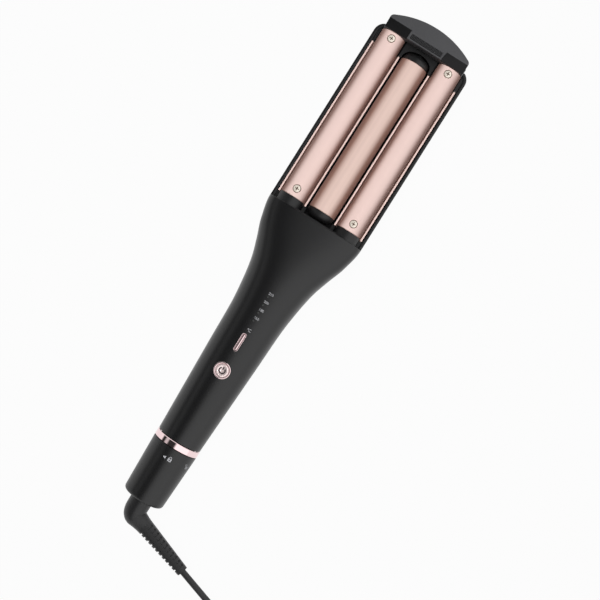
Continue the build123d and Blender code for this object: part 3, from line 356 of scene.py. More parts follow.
class Paint:
    """A node tree that finishes are written in."""

    def __init__(self, tree):
        self.tree = tree
        tree.nodes.clear()

    def add(self, kind, settings, inputs, out=0):
        node = self.tree.nodes.new("ShaderNode" + kind)
        for name, value in settings.items():
            setattr(node, name, value)
        for name, value in inputs.items():
            if isinstance(value, Out):
                self.tree.links.new(value.socket, node.inputs[name])
            else:
                node.inputs[name].default_value = value
        return Out(self, node.outputs[out]) if len(node.outputs) else None

    def noise(self, where, scale, detail=3.0):
        inputs = {"Vector": where, "Scale": scale, "Detail": detail}
        return self.add("TexNoise", {}, inputs)

    def mix(self, share, a, b):
        settings = {"data_type": "RGBA"}
        return self.add("Mix", settings, {0: share, 6: a, 7: b}, out=2)

    def ease(self, value, start, end, low, high):
        """Runs smoothly from low to high while the value runs from start to end."""
        settings = {"interpolation_type": "SMOOTHSTEP"}
        return self.add("MapRange", settings, {0: value, 1: start, 2: end, 3: low, 4: high})

    def seen(self):
        """1 for what the camera sees, also in a reflection or through a clear piece."""
        kinds = ("Is Camera Ray", "Is Glossy Ray", "Is Transmission Ray")
        straight, mirrored, through = (self.add("LightPath", {}, {}, out=k) for k in kinds)
        return straight + mirrored + through


FINISHES = {}


def rgba(colour, factor=1.0):
    return (*(min(1.0, c * factor) for c in colour), 1.0)


# %% [markdown]
# ## Moulded plastic, coating, plating and rubber
# All of these are one surface shader with different numbers, so one recipe serves. A slow
# noise varies the colour and the gloss a little over the piece, as handling and moulding
# do. A fine noise gives the grain of the tool steel through a bump. Grain is stretched
# along the tool where a piece was drawn or polished lengthwise. The rose coating also has
# faint streaks, and painted shade darkens and browns it where it turns away from the eye.


# %% A recipe for a finish
SLOW_SCALE, STREAK_SCALE = 55.0, 420.0
STREAK_SHADE = 0.45
# Colour factors of the painted shade on flanks that turn away from the eye.
FLANK_SHADE_FACTORS = (0.38, 0.29, 0.26)


def finish(slot, colour, rough, metal=0.0, coat=0.0, vary=0.06, grain=2600.0,
           depth=0.00002, stretch=(1, 1, 1), sheen=0.0, specular=0.5, streak=0.0,
           flank_shade=None):
    """Material of a slot. Painted flank shade starts and ends where given, 1 being edge on."""
    material = bpy.data.materials.new(slot)
    material.use_nodes = True
    paint = Paint(material.node_tree)
    raw_spot = paint.add("TexCoord", {}, {}, out="Object")
    spot = paint.add("Mapping", {}, {"Vector": raw_spot, "Scale": stretch})
    slow = paint.noise(spot, SLOW_SCALE, 4.0)
    fine = paint.noise(spot, grain, 2.0)
    tint = paint.mix(slow, rgba(colour, 1 - 2 * vary), rgba(colour, 1 + 2 * vary))
    if streak:
        lengthwise = paint.add("Mapping", {}, {"Vector": spot, "Scale": (1, 0.04, 1)})
        drawn = paint.noise(lengthwise, STREAK_SCALE, 3.0)
        tint = paint.mix(drawn * streak, tint, rgba(colour, STREAK_SHADE))
    # Painted shade: the colour darkens and browns on faces that turn away from the eye.
    if flank_shade:
        facing = paint.add("LayerWeight", {}, {"Blend": 0.5}, out="Facing")
        flank_shade_share = paint.ease(facing, *flank_shade, 0.0, 1.0)
        tint = paint.mix(flank_shade_share, tint, rgba([c * k for c, k in zip(colour, FLANK_SHADE_FACTORS)]))
    swing = 2 * rough * vary
    gloss = rough - 0.5 * swing + slow * swing + (fine - 0.5) * 0.03
    bump = paint.add("Bump", {}, {"Strength": 0.6, "Distance": depth, "Height": fine})
    shader = paint.add("BsdfPrincipled", {}, {
        "Base Color": tint, "Roughness": gloss, "Normal": bump, "Metallic": metal,
        "Coat Weight": coat, "Coat Roughness": 0.1, "Sheen Weight": sheen,
        "Specular IOR Level": specular,
    })
    paint.add("OutputMaterial", {}, {"Surface": shader})
    FINISHES[slot] = material


finish("black_shell", (0.0062, 0.0062, 0.0066), 0.34, vary=0.05, grain=3200.0)
finish("black_inner", (0.006, 0.006, 0.0063), 0.5, vary=0.08, grain=2400.0)
finish("cap_grey", (0.058, 0.058, 0.061), 0.5, vary=0.05, grain=3000.0)
finish("cap_shoulder_painted_shade", (0.005, 0.005, 0.0053), 0.45, vary=0.05, grain=3000.0, specular=0.25)
finish("grip_black", (0.012, 0.012, 0.013), 0.25, vary=0.06)
finish("collar_black", (0.0066, 0.0066, 0.007), 0.36, vary=0.05, grain=3200.0)
COATED = {"specular": 0.1, "vary": 0.02, "grain": 3600.0, "depth": 0.000006,
          "stretch": (1, 0.12, 1)}
finish("rose_coating", (0.85, 0.64, 0.59), 0.38, metal=0.03, streak=0.10,
       flank_shade=(0.08, 0.55), **COATED)
# Middle barrel: more streaks as texture, and a darker, browner colour as painted shade.
finish("rose_streaked_painted_shade", (0.82, 0.61, 0.54), 0.34, metal=0.06, streak=0.32,
       flank_shade=(0.04, 0.40), **COATED)
finish("rose_chrome", (0.90, 0.70, 0.71), 0.09, metal=1.0, vary=0.03, grain=1800.0,
       depth=0.000004)
finish("steel", (0.60, 0.60, 0.61), 0.3, metal=1.0, vary=0.08, grain=1500.0,
       depth=0.00001, stretch=(1, 0.1, 1))
finish("rose_screw", (0.86, 0.78, 0.68), 0.32, metal=0.3, vary=0.05, depth=0.000008)
# Painted shade for the floor of the screw seats and their cross recesses.
finish("screw_gap_painted_shade", (0.10, 0.060, 0.040), 0.5, vary=0.05)
finish("rose_button", (0.90, 0.745, 0.735), 0.16, metal=0.5, vary=0.03, depth=0.000004)
finish("bar_plastic", (0.012, 0.012, 0.0125), 0.4, vary=0.05)
finish("heater", (0.70, 0.70, 0.71), 0.35, metal=0.9, vary=0.07, stretch=(1, 0.1, 1))
finish("board_green", (0.035, 0.17, 0.085), 0.3, coat=0.4, vary=0.08)
finish("board_parts", (0.045, 0.045, 0.048), 0.5, vary=0.1)
finish("lamp_clear", (0.07, 0.07, 0.07), 0.2, vary=0.03)
finish("wire_white", (0.78, 0.77, 0.73), 0.55, vary=0.05)
finish("cord_rubber", (0.0075, 0.0075, 0.008), 0.44, vary=0.07, grain=2200.0,
       depth=0.00003, sheen=0.05)
print(len(FINISHES), "finishes")

# %% [markdown]
# The solids that stay visible inside the tool take their finish by slot. A solid is never
# reshaped here, so only its material slots are filled.

# %% Finish the pieces inside
for part in frame["record"]["subparts"]:
    solid = frame["nodes"][part["node"]]
    for place_in_list in solid.material_slots:
        place_in_list.material = FINISHES[part["material_slot"]]
print(len(frame["nodes"]), "solids have a finish")

# %% [markdown]
# ## The camera
# A tool catalogue looks straight down on a tool that lies on a table. The lens is long, so
# the perspective is gentle, and the camera is turned so that the tool leans to the right.

# %% Camera
CAMERA_AT = (0.017, -0.01275, 0.6654)
CAMERA_TURN = math.radians(32.2)
lens = bpy.data.cameras.new("camera")
lens.lens = 63.5
lens.sensor_width = 36.0
camera = linked("camera", lens)
camera.location = CAMERA_AT
camera.rotation_euler = (0, 0, CAMERA_TURN)
bpy.context.scene.camera = camera
print("camera", tuple(camera.location), "lens", lens.lens)

# %% [markdown]
# ## The cord's line
# A mains cord is one smooth flexible line. It leaves the strain relief, comes down to the
# height of the coil, and its spare length is wound into a tied round coil beside the tool.
# A NURBS curve suits that, because it never kinks: a few given points pull it into its
# lie. The turns of the coil are more points of the same curve, made in a loop.

# %% Points of the cord
CORD_R = 2.0
ELBOW_T = -11.0
ELBOW_TURN = math.radians(-18)
ELBOW_L = 47.0
COIL_R = 24.5
COIL_AT = (86.0, -232.75)
COIL_Z = 9.1
ENTRY_TURN = 60
LEAVE_TURN = 282
TIE_TURN = 150


def on_relief(distance):
    """A point on the middle line of the strain relief's ribbed part."""
    x = math.cos(ELBOW_TURN) * distance
    return (x, along(ELBOW_T) + math.sin(ELBOW_TURN) * distance, AXIS_Z)


def on_coil(turn, radial=0.0, up=0.0):
    angle = math.radians(turn)
    radius = COIL_R + radial
    x, y = COIL_AT
    return (x + radius * math.cos(angle), y + radius * math.sin(angle), COIL_Z + up)


SPLIT = (69.5, -200.6, 13.9)
near_points = [on_relief(ELBOW_L + past) for past in (-31.0, -8.0, 13.5)] + [SPLIT]
before_coil = [SPLIT, (76.0, -202.9, 12.6), (85.0, -206.1, 11.2)]

# %% [markdown]
# Ten turns pass through each cross-section of the coil. They pack like round sticks, in
# rows of two, three, three and two. At the strap every turn moves on to the next place.

# %% Turns of the coil
PLACES = [
    (4.1, 2.05), (2.05, 5.6), (-2.05, 5.6), (-4.1, 2.05), (0.0, 2.05),
    (0.0, -2.05), (-4.1, -2.05), (-2.05, -5.6), (2.05, -5.6), (4.1, -2.05),
]
CHANGE_HALF = 30
POINT_STEP = 15


def place_after(turned_by):
    """Place in the bundle after turning clockwise by so many degrees from the entry."""
    first_change = (ENTRY_TURN - TIE_TURN) % 360
    done = (turned_by - first_change + CHANGE_HALF) / 360
    whole = max(0, math.floor(done))
    share = min(1.0, max(0.0, (done - whole) * 360 / (2 * CHANGE_HALF)))
    share = share * share * (3 - 2 * share)
    a = PLACES[min(whole, len(PLACES) - 1)]
    b = PLACES[min(whole + 1, len(PLACES) - 1)]
    bulge = 1 + 0.18 * math.sin(math.pi * share)
    return tuple((p + share * (q - p)) * bulge for p, q in zip(a, b))


whole_sweep = (len(PLACES) - 1) * 360 + (ENTRY_TURN - LEAVE_TURN) % 360
coil_points = []
swept = 0.0
while swept <= whole_sweep:
    coil_points.append(on_coil(ENTRY_TURN - swept, *place_after(swept)))
    swept += POINT_STEP
after_coil = [
    (79.4, -259.9, 8.4), (67.6, -263.4, 7.6), (56.0, -265.35, 7.0), (43.0, -265.35, 7.0),
]
far_points = before_coil + coil_points + after_coil
print(len(far_points), "points,", round(whole_sweep / 360, 2), "turns")

# %% [markdown]
# A curve with a bevel depth is a tube. The same curve without it gives the line that the
# cord's length is measured along.


# %% Curve to tube
def nurbs(name, points, radii=None, bevel=0.0):
    """An open NURBS spline through the pull of its points, in metres."""
    data = bpy.data.curves.new(name, "CURVE")
    data.dimensions = "3D"
    data.resolution_u = 8
    data.bevel_resolution = 6
    data.bevel_depth = bevel * MM
    data.use_fill_caps = True
    spline = data.splines.new("NURBS")
    spline.points.add(len(points) - 1)
    for i, point in enumerate(points):
        spline.points[i].co = (*(c * MM for c in point), 1)
        if radii:
            spline.points[i].radius = radii[i]
    spline.order_u = 3
    spline.use_endpoint_u = True
    return linked(name, data)


def tube(name, points, radii=None, bevel=CORD_R):
    """A mesh tube along the spline, and the line that it follows."""
    bare = nurbs("line", points)
    path = [tuple(v.co) for v in worked_out(bare).vertices]
    bpy.data.objects.remove(bare)
    round_curve = nurbs("round", points, radii, bevel)
    mesh = worked_out(round_curve)
    bpy.data.objects.remove(round_curve)
    mesh.name = name
    bm = bmesh.new()
    bm.from_mesh(mesh)
    bmesh.ops.remove_doubles(bm, verts=bm.verts, dist=1e-7)
    outward(bm)
    bm.to_mesh(mesh)
    bm.free()
    shade(mesh)
    return linked(name, mesh), path


def path_length(path):
    return sum((Vector(b) - Vector(a)).length for a, b in zip(path, path[1:]))


near_cord, near_path = tube("cord_near", near_points)
far_cord, far_path = tube("cord_far", far_points)
print("cord lengths", round(path_length(near_path), 3), round(path_length(far_path), 3))

# %% [markdown]
# ## Strain relief
# Where the cord leaves the tool it is held by a moulded rubber elbow. Its neck turns in the
# collar, and its long sleeve is notched on both sides, so that it bends a little more
# towards its thin end. The elbow is a thick curve whose radius shrinks along the line. The
# sleeve is turned with a groove at each notch, and a strip along the front and the back is
# pushed out again as the spine between the notches.

# %% Elbow
NECK_R = 7.1
elbow_line = [
    (0, along(9.9), AXIS_Z), (0, along(3.0), AXIS_Z), (0, along(-4.5), AXIS_Z),
    (0, along(-8.6), AXIS_Z), (1.0, along(-11.6), AXIS_Z), on_relief(4.5), on_relief(7.5),
    on_relief(10.0), on_relief(12.2),
]
elbow_radii = [1.0, 1.0, 1.0, 0.985, 0.95, 0.88, 0.80, 0.755, 0.725]
elbow, _ = tube("relief_elbow", elbow_line, elbow_radii, NECK_R)
print("elbow faces", len(elbow.data.polygons))

# %% [markdown]
# The sleeve is made upright at the origin and then swung into the elbow's direction. On one
# side a smooth rail joins the spines.


# %% Notched sleeve
def relief_sleeve():
    start, end = 9.5, ELBOW_L
    first, pitch, notch, count, deep = 12.6, 3.02, 1.3, 11, 0.8
    thick, taper = 5.3, 1.75
    spine_half, rail_from = 22, 64
    lip = first + pitch * count
    profile = [(0.0, start), (thick, start)]

    def outer(s):
        return thick - taper * (s - start) / (end - start)

    for i in range(count):
        a = first + i * pitch
        b = a + notch
        for s, sunk in ((a, 0.0), (a, deep), (b, deep), (b, 0.0)):
            profile.append((outer(s) - sunk, s))
    profile += [(outer(lip), lip), (outer(end), end), (0.0, end)]
    bm = turned(profile, closed=False, steps=64)
    for vert in bm.verts:
        s = vert.co.y
        radius = math.hypot(vert.co.x, vert.co.z)
        if radius < 1.0:
            continue
        off_spine = math.degrees(math.atan2(abs(vert.co.x), abs(vert.co.z)))
        on_rail = vert.co.x < 0 and off_spine > rail_from
        if (off_spine < spine_half or on_rail) and s < lip - 0.1:
            grow = outer(s) / radius
            vert.co.x *= grow
            vert.co.z *= grow
    soften(bm, 0.18, least=50, segments=2)
    rotated(bm, ELBOW_TURN - math.pi / 2)
    return moved(bm, 0, along(ELBOW_T), AXIS_Z)


settle(elbow, "cord_swivel", "cord_rubber", "cord_elbow")
sleeve = made(relief_sleeve(), "relief_sleeve", "cord_swivel", "cord_rubber")
disc = soften(rod(8.8, 7.9, 10.3, steps=96), 0.3)
flange = made(disc, "relief_flange", "cord_swivel", "cord_rubber")

# %% [markdown]
# ## Plug and strap
# The plug is a flat moulding, wide at its pins and narrow where the cord goes in, so it is
# easy to pull out. It starts as a rounded square that is extruded slice by slice, and each
# slice is then given its own size.


# %% Plug body
PLUG_END = (45.0, -265.35)
PLUG_Z = 7.0
PLUG_L = 36.0
PLUG_SLICES = [
    (0, 5.0, 4.5), (2, 5.2, 4.7), (9, 6.2, 5.1), (16, 11.0, 6.0), (23, 16.2, 6.7),
    (26, 17.4, 6.85), (34.5, 17.6, 6.85), (36, 16.8, 6.2),
]


def plug_shape():
    """Slices from the cord to the pins: distance, half width and half thickness."""
    bm = bmesh.new()
    bmesh.ops.create_grid(bm, x_segments=1, y_segments=1, size=0.5)
    rotated(bm, math.pi / 2, "Y")
    bmesh.ops.bevel(
        bm, geom=bm.verts[:], offset=0.2, segments=5, affect="VERTICES", profile=0.5,
        material=-1,
    )
    x, y = PLUG_END
    end = bm.faces[:]
    rings = [bm.verts[:]]
    for _ in PLUG_SLICES[1:]:
        grown = bmesh.ops.extrude_face_region(bm, geom=end)["geom"]
        if len(rings) > 1:
            bmesh.ops.delete(bm, geom=end, context="FACES_ONLY")
        end = [g for g in grown if isinstance(g, bmesh.types.BMFace)]
        rings.append([g for g in grown if isinstance(g, bmesh.types.BMVert)])
    for ring, (back, wide, thick) in zip(rings, PLUG_SLICES):
        for vert in ring:
            vert.co = (x - back, y + vert.co.y * 2 * wide, PLUG_Z + vert.co.z * 2 * thick)
    outward(bm)
    return bm


plug = made(plug_shape(), "plug_shape", "rear_arm", "cord_rubber", "plug_body")

# %% [markdown]
# The pins are turned and laid along the plug.


# %% Plug pins
PIN_HALF_PITCH = 9.3


def pin(side):
    """A round pin with a plastic sleeve at its root and a domed tip."""
    profile = [(0, 0), (2.0, 0), (2.0, 8.4), (1.9, 8.7), (1.9, 17.6), (1.55, 18.6),
               (0.8, 19.0), (0, 19.0)]
    bm = rotated(turned(profile, closed=False, steps=40), math.pi / 2)
    x, y = PLUG_END
    return moved(bm, x - PLUG_L + 0.05, y + side * PIN_HALF_PITCH, PLUG_Z)


pins = made(joined(pin(-1), pin(1)), "pins_round", "rear_arm", "steel", "plug_pins")

# %% [markdown]
# The strap is a thin ring round the bundle of turns, set square to the cord.


# %% Strap
def strap():
    inner, outer, half = 8.2, 9.0, 4.0
    bm = turned([(inner, -half), (outer, -half), (outer, half), (inner, half)], steps=72)
    soften(bm, 0.25)
    return moved(rotated(bm, math.radians(TIE_TURN)), *on_coil(TIE_TURN))


tie = made(strap(), "strap_band", "rear_arm", "cord_rubber", "cord_tie")

# %% [markdown]
# ## The cord in two lengths
# The sleeve turns with the swivel, the swivel rides on the front arm, and the coil lies
# with the rear arm. So the cord is two lengths, from the swivel to the front arm and from
# the front arm to the rear arm. Both take their finish here, but neither rides on a body.

# %% Cord's finish, in the place of its solids
def metres(point):
    return tuple(c * MM for c in point)


for cord in (near_cord, far_cord):
    cord.data.materials.append(FINISHES["cord_rubber"])
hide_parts("power_cord")
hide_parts("cord_coil", "cord_tail")
metres(on_relief(ELBOW_L))
metres(SPLIT)
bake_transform(near_cord)
metres(SPLIT)
metres(coil_points[0])
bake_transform(far_cord)
metres(near_points[0])
metres(SPLIT)
print("whole cord", round(path_length(near_path) + path_length(far_path), 3), "m")

# %% [markdown]
# ## The arms' outline
# Both arms share one outline: a round handle that widens in a smooth flare into a broad,
# flatter jaw. A table gives the half width, the height of the parting line, the height of
# the front and how square the section is at a few stations. Between them a smooth curve
# is better than straight steps, because long highlights show every corner.

# %% Smooth outline
OUTLINE = [
    (42.3, 14.6, 15.4, 30.0, 2.00),
    (75.0, 15.9, 15.4, 31.0, 2.10),
    (105.0, 17.1, 15.4, 32.0, 2.20),
    (130.0, 18.0, 15.4, 33.0, 2.30),
    (147.0, 19.8, 15.7, 34.0, 2.40),
    (160.0, 22.0, 17.2, 34.9, 2.50),
    (172.0, 25.6, 19.8, 35.7, 2.65),
    (184.0, 29.7, 22.8, 36.4, 2.85),
    (198.5, 32.3, 25.2, 37.0, 3.10),
    (323.7, 32.3, 25.2, 37.0, 3.10),
]


def slope(i, k):
    """Slope of value k at row i, level where the value turns, so nothing overshoots."""
    rows = OUTLINE[max(0, i - 1) : i + 2]
    steps = [(b[k] - a[k]) / (b[0] - a[0]) for a, b in zip(rows, rows[1:])]
    if len(steps) == 1:
        return steps[0]
    left, right = steps
    return 0.0 if left * right <= 0 else 2 * left * right / (left + right)


SLOPES = [[slope(i, k) for k in range(1, 5)] for i in range(len(OUTLINE))]


def outline_at(t):
    """Half width, parting height, front height and squareness at a station."""
    t = min(max(t, OUTLINE[0][0]), OUTLINE[-1][0] - 1e-6)
    i = max(k for k, row in enumerate(OUTLINE) if row[0] <= t)
    t0, t1 = OUTLINE[i][0], OUTLINE[i + 1][0]
    run = t1 - t0
    s = (t - t0) / run
    values = []
    for k in range(4):
        p, q = OUTLINE[i][k + 1], OUTLINE[i + 1][k + 1]
        m, n = SLOPES[i][k] * run, SLOPES[i + 1][k] * run
        values.append(
            (2 * s**3 - 3 * s**2 + 1) * p + (s**3 - 2 * s**2 + s) * m
            + (3 * s**2 - 2 * s**3) * q + (s**3 - s**2) * n
        )
    return values


def section(u, half, base, top, squareness):
    """Point at u, from -1 to 1, on a rounded half section from rim to rim."""
    pull = (8 * 2 ** (-1 / squareness) - 4) / 3
    s = 1 - abs(u)
    x = half * ((1 - s) ** 3 + 3 * (1 - s) ** 2 * s + 3 * (1 - s) * s**2 * pull)
    rise = 3 * (1 - s) * s**2 + s**3 + 3 * (1 - s) ** 2 * s * pull
    return math.copysign(x, u), base + (top - base) * rise


print("widest", round(outline_at(250)[0] * 2, 1), "mm")


# %% [markdown]
# ## The two shells
# A shell starts as a flat grid, like a sheet of warm plastic, and each of its points is
# moved to its place on the outline. A Solidify modifier then gives the sheet its wall,
# and a Bevel modifier rounds its rims.


# %% Sheet to shell
def sheet(across, stations, spot):
    """Grid of across x stations whose points go where spot(u, t) says."""
    bm = bmesh.new()
    rows = len(stations) - 1
    bmesh.ops.create_grid(bm, x_segments=across, y_segments=rows, size=1.0)
    for vert in bm.verts:
        u = vert.co.x
        row = round((vert.co.y + 1) / 2 * rows)
        vert.co = spot(u, stations[row])
    return bm


def walled(bm, name, wall, rim):
    """Sheet with a wall of that thickness inwards and rounded rims."""
    piece = place(bm, name)
    thick = piece.modifiers.new("wall", "SOLIDIFY")
    thick.thickness = wall * MM
    thick.offset = -1.0
    thick.use_even_offset = True
    return rounded(piece, rim, least=50)


def spaced(t0, t1, step):
    count = max(1, round((t1 - t0) / step))
    return [t0 + (t1 - t0) * i / count for i in range(count + 1)]

# %% [markdown]
# The holes for the buttons and the lamps are cut with solids of their own shape. The arms
# part with a small gap all round.

# %% Front cover
T_COVER, T_JAW = 42.3, 198.5
WALL = 2.0
PART_GAP = 0.3


def cover_spot(u, t):
    half, part, front, square = outline_at(t)
    base = part + PART_GAP / 2
    x, z = section(u, half, base, front, square)
    return (x, along(t), z)


cover_sheet = sheet(72, spaced(T_COVER, T_JAW, 1.6), cover_spot)
cover = walled(cover_sheet, "cover_shell", WALL, 0.35)
T_POWER = 93.4
T_TEMP = 113.5
power_top = outline_at(T_POWER)[2]
temp_top = outline_at(T_TEMP)[2]
LAMP_T = [128.7 + 5.55 * i for i in range(4)]
carve(
    cover,
    post(5.3, power_top - 6, power_top + 2, 0, T_POWER, 64),
    raised(pill(1.6, T_TEMP - 6.3, T_TEMP + 6.3), temp_top - 6, temp_top + 4),
    *[post(0.5, 25, 40, -0.3, t, 24) for t in LAMP_T],
)
settle(cover, "front_arm", "black_shell", "front_cover")

# %% [markdown]
# The rear shell is a long bowl. Towards its tip the sides turn in with a round corner, the
# back slopes up in a bevel, and the last ring of points is closed with a face. At the heel
# its rim falls away, so that the jaw can open. The slider's recess and the two hollows for
# the barrel ends are cut out of it.

# %% Rear shell
TIP_R = 7.0
T_SHELL_TIP = 323.7
T_CORNER = T_SHELL_TIP - TIP_R
T_BEVEL = T_SHELL_TIP - 3.5
T_HEEL = 50
HEEL_SLOPE = math.tan(math.radians(11.5))
BACK_Z = -0.2


def shell_spot(u, t):
    half, part, _, square = outline_at(t)
    base = part - PART_GAP / 2
    if t < T_HEEL:
        base -= 0.15 + (T_HEEL - t) * HEEL_SLOPE
    x, z = section(u, half, base, BACK_Z, square)
    if t > T_CORNER:
        past = min(t - T_CORNER, TIP_R)
        corner = TIP_R - math.sqrt(TIP_R**2 - past**2)
        x *= (half - corner) / half
    lift = max(0.0, t - T_BEVEL)
    return (x, along(t), max(z, lift, 0.0))


tip_rows = [T_CORNER + TIP_R * math.sin(math.radians(a)) for a in range(6, 91, 6)]
shell_rows = spaced(45.0, T_CORNER, 2.4) + tip_rows
bowl = sheet(72, shell_rows, shell_spot)
last = [e for e in bowl.edges if e.is_boundary and all(
    abs(v.co.y - along(T_SHELL_TIP)) < 1e-3 for v in e.verts)]
bmesh.ops.contextual_create(bowl, geom=last)
outward(bowl)
shell = walled(bowl, "shell_bowl", WALL, 0.45)
KNOB_SLOT = (116.6, 155.6)
carve(
    shell,
    raised(pill(6.8, *KNOB_SLOT), -1, 5),
    *[rod(BARREL_R + 0.9, 320.7, 324.7, side * PITCH, BARREL_Z) for side in (-1, 1)],
)
settle(shell, "rear_arm", "black_shell", "rear_shell")

# %% [markdown]
# ## Barrels
# A barrel is a drawn aluminium tube with a satin rose coating. The profile of its wall is
# spun about its axis, with many short steps along it, so that the small sunk seats of the
# screws can be cut without spoiling the shading around them.


# %% Outer barrels and their screws
SCREW_T = (209.2, 314.7)
BARREL_TOP = BARREL_Z + BARREL_R
SEAT_Z = BARREL_TOP - 0.5
TUBE_WALL, TUBE_EDGE, TUBE_STEP = 1.2, 0.3, 2.2


def tube_profile(radius, t0, t1):
    """(Radius, station) points round the wall of a tube with chamfered ends."""
    outer = [(radius, t) for t in spaced(t0 + TUBE_EDGE, t1 - TUBE_EDGE, TUBE_STEP)]
    inner = [(radius - TUBE_WALL, t) for t in spaced(t1, t0, -TUBE_STEP * 4)]
    return [(radius - TUBE_EDGE, t0)] + outer + [(radius - TUBE_EDGE, t1)] + inner


def cross(x, t, reach, half, z0, z1):
    """Two crossed bars."""
    sizes = ((reach, half), (half, reach))
    return [box(x - a, x + a, t - b, t + b, z0, z1) for a, b in sizes]


def screw_head(x, t, top):
    """Pan head with a cross recess."""
    z = top + 0.9
    profile = [(0, top), (2.2, top), (2.2, top + 0.45), (2.05, top + 0.72), (1.6, z), (0, z)]
    bm = turned(profile, closed=False, steps=48, upright=True)
    head = place(moved(bm, x, along(t)), "head")
    return carve(head, *cross(x, t, 1.25, 0.27, z - 0.5, z + 1))


def screw_gap_painted_shade(x, t, top):
    """Painted shade: a dark floor for the seat and for the cross recess."""
    rim = turned([(2.0, top), (2.52, top), (2.52, top + 0.22), (2.0, top + 0.22)], upright=True)
    z = top + 0.42
    return joined(moved(rim, x, along(t)), *cross(x, t, 1.2, 0.25, z, z + 0.1))


def barrel(side, name):
    x = side * PITCH
    piece = place(lathed(tube_profile(BARREL_R, *BARREL_T), x, BARREL_Z), name)
    seats = [post(2.55, BARREL_TOP - 0.55, BARREL_TOP + 2, x, t, 64) for t in SCREW_T]
    return carve(piece, *seats)


for side, name in ((-1, "left"), (1, "right")):
    settle(barrel(side, name + "_tube"), "front_arm", "rose_coating", name + "_barrel")
heads, gap_shades = [], []
for side in (-1, 1):
    for t in SCREW_T:
        gap_shades.append(screw_gap_painted_shade(side * PITCH, t, SEAT_Z))
        heads.append(as_bmesh(screw_head(side * PITCH, t, SEAT_Z)))
made(joined(*heads), "screw_heads", "front_arm", "rose_screw", "barrel_screws")
# Painted shade: a dark ring and cross where the seats and recesses lie in shadow.
seat_shade = place(joined(*gap_shades), "screw_seat_painted_shade")
seat_shade.data.materials.append(FINISHES["screw_gap_painted_shade"])
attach(seat_shade, "front_arm")

# %% [markdown]
# The centre barrel moves alone, so its ends have caps of their own, each with a dome and a
# guide pin. Its coating is more streaked, and painted shade makes it a little darker and
# browner, since it lies sunk between the outer barrels.


# %% Centre barrel and its domed caps
def domed_cap(t_face, way, guide_z):
    y = along(t_face)
    points = [(0, y - way * 6), (7.5, y - way * 6), (7.5, y), (8.6, y)]
    for a in range(0, 91, 10):
        angle = math.radians(a)
        points.append((4.2 + 4.4 * math.cos(angle), y + way * (1.0 + 4.4 * math.sin(angle))))
    points.append((0, y + way * 5.4))
    dome = moved(turned(points, closed=False, steps=96), 0, 0, CENTRE_Z)
    near, far = t_face + way * 1.0, t_face + way * 9.6
    return joined(dome, rod(1.75, min(near, far), max(near, far), 0, guide_z, 40))


centre = lathed(tube_profile(CENTRE_R, *CENTRE_T), 0, CENTRE_Z)
centre = made(centre, "centre_tube", "centre_barrel", "rose_coating", "centre_barrel")
# The sunk middle barrel takes the coating copy with painted shade in its colour.
centre.data.materials[0] = FINISHES["rose_streaked_painted_shade"]
for t, way, guide_z, name in ((CENTRE_T[0], -1, 21.5, "base"), (CENTRE_T[1], 1, 24.0, "tip")):
    dome = domed_cap(t, way, guide_z)
    made(dome, "dome_" + name, "centre_barrel", "black_inner", "centre_cap_" + name)


# %% [markdown]
# ## Troughs
# Each front barrel closes into a half-round trough of the same coated metal. A strip of
# wall is spun a little less than half a turn round the barrel's axis, and a flat pad
# below carries the heater.


# %% Troughs
def trough(side):
    inner, outer = BARREL_R + 0.9, BARREL_R + 2.0
    t0, t1 = 203.4, 309.9
    reach = math.radians(84.4)
    bm = bmesh.new()
    corners = [(inner, t0), (outer, t0), (outer, t1), (inner, t1)]
    across, down = math.sin(-reach), -math.cos(reach)
    face = bm.faces.new([bm.verts.new((r * across, along(t), r * down)) for r, t in corners])
    bmesh.ops.spin(
        bm, geom=[face], cent=(0, 0, 0), axis=(0, 1, 0), angle=-2 * reach, steps=48,
        use_merge=False,
    )
    outward(bm)
    soften(bm, 0.2, least=60, segments=2)
    x = side * PITCH
    moved(bm, x, 0, BARREL_Z)
    pad = box(x - 6, x + 6, t0, t1, BARREL_Z - outer - 1.0, BARREL_Z - inner - 0.4)
    return joined(bm, pad)


for side, name in ((-1, "left"), (1, "right")):
    made(trough(side), name + "_half_pipe", "rear_arm", "rose_coating", name + "_trough")


# %% [markdown]
# ## Tip cap
# The tip cap is one grey moulding with a flat front, a wide arc for its end and a tab that
# reaches down between the barrels. Its outline is extruded, the shoulders and the hollows
# are cut away, and its edges are softened. Painted shade makes the slanting shoulders darker.

# %% Tip cap
CAP_FACE_Z = 38.2
CAP_HALF = PITCH + 7.4
TAB_HALF = PITCH - 7.8
T_CAP = BARREL_T[1] + 0.05


def cap_outline():
    """Half-moon with small round corners, counted from the lower right."""
    points = [(-CAP_HALF, along(T_CAP)), (CAP_HALF, along(T_CAP)), (CAP_HALF, along(324.9))]
    for i in range(1, 9):
        angle = math.radians(i * 9)
        points.append((
            CAP_HALF - 2.9 * (1 - math.cos(angle)), along(324.9) + 2.7 * math.sin(angle),
        ))
    x1, y1 = points[-1]
    rise = along(LENGTH) - y1
    radius = (x1**2 + rise**2) / (2 * rise)
    for i in range(1, 40):
        x = x1 * (1 - i / 20)
        points.append((x, along(LENGTH) - radius + math.sqrt(radius**2 - x**2)))
    mirrored = [(-x, y) for x, y in points[2:11]]
    return points + mirrored[::-1]


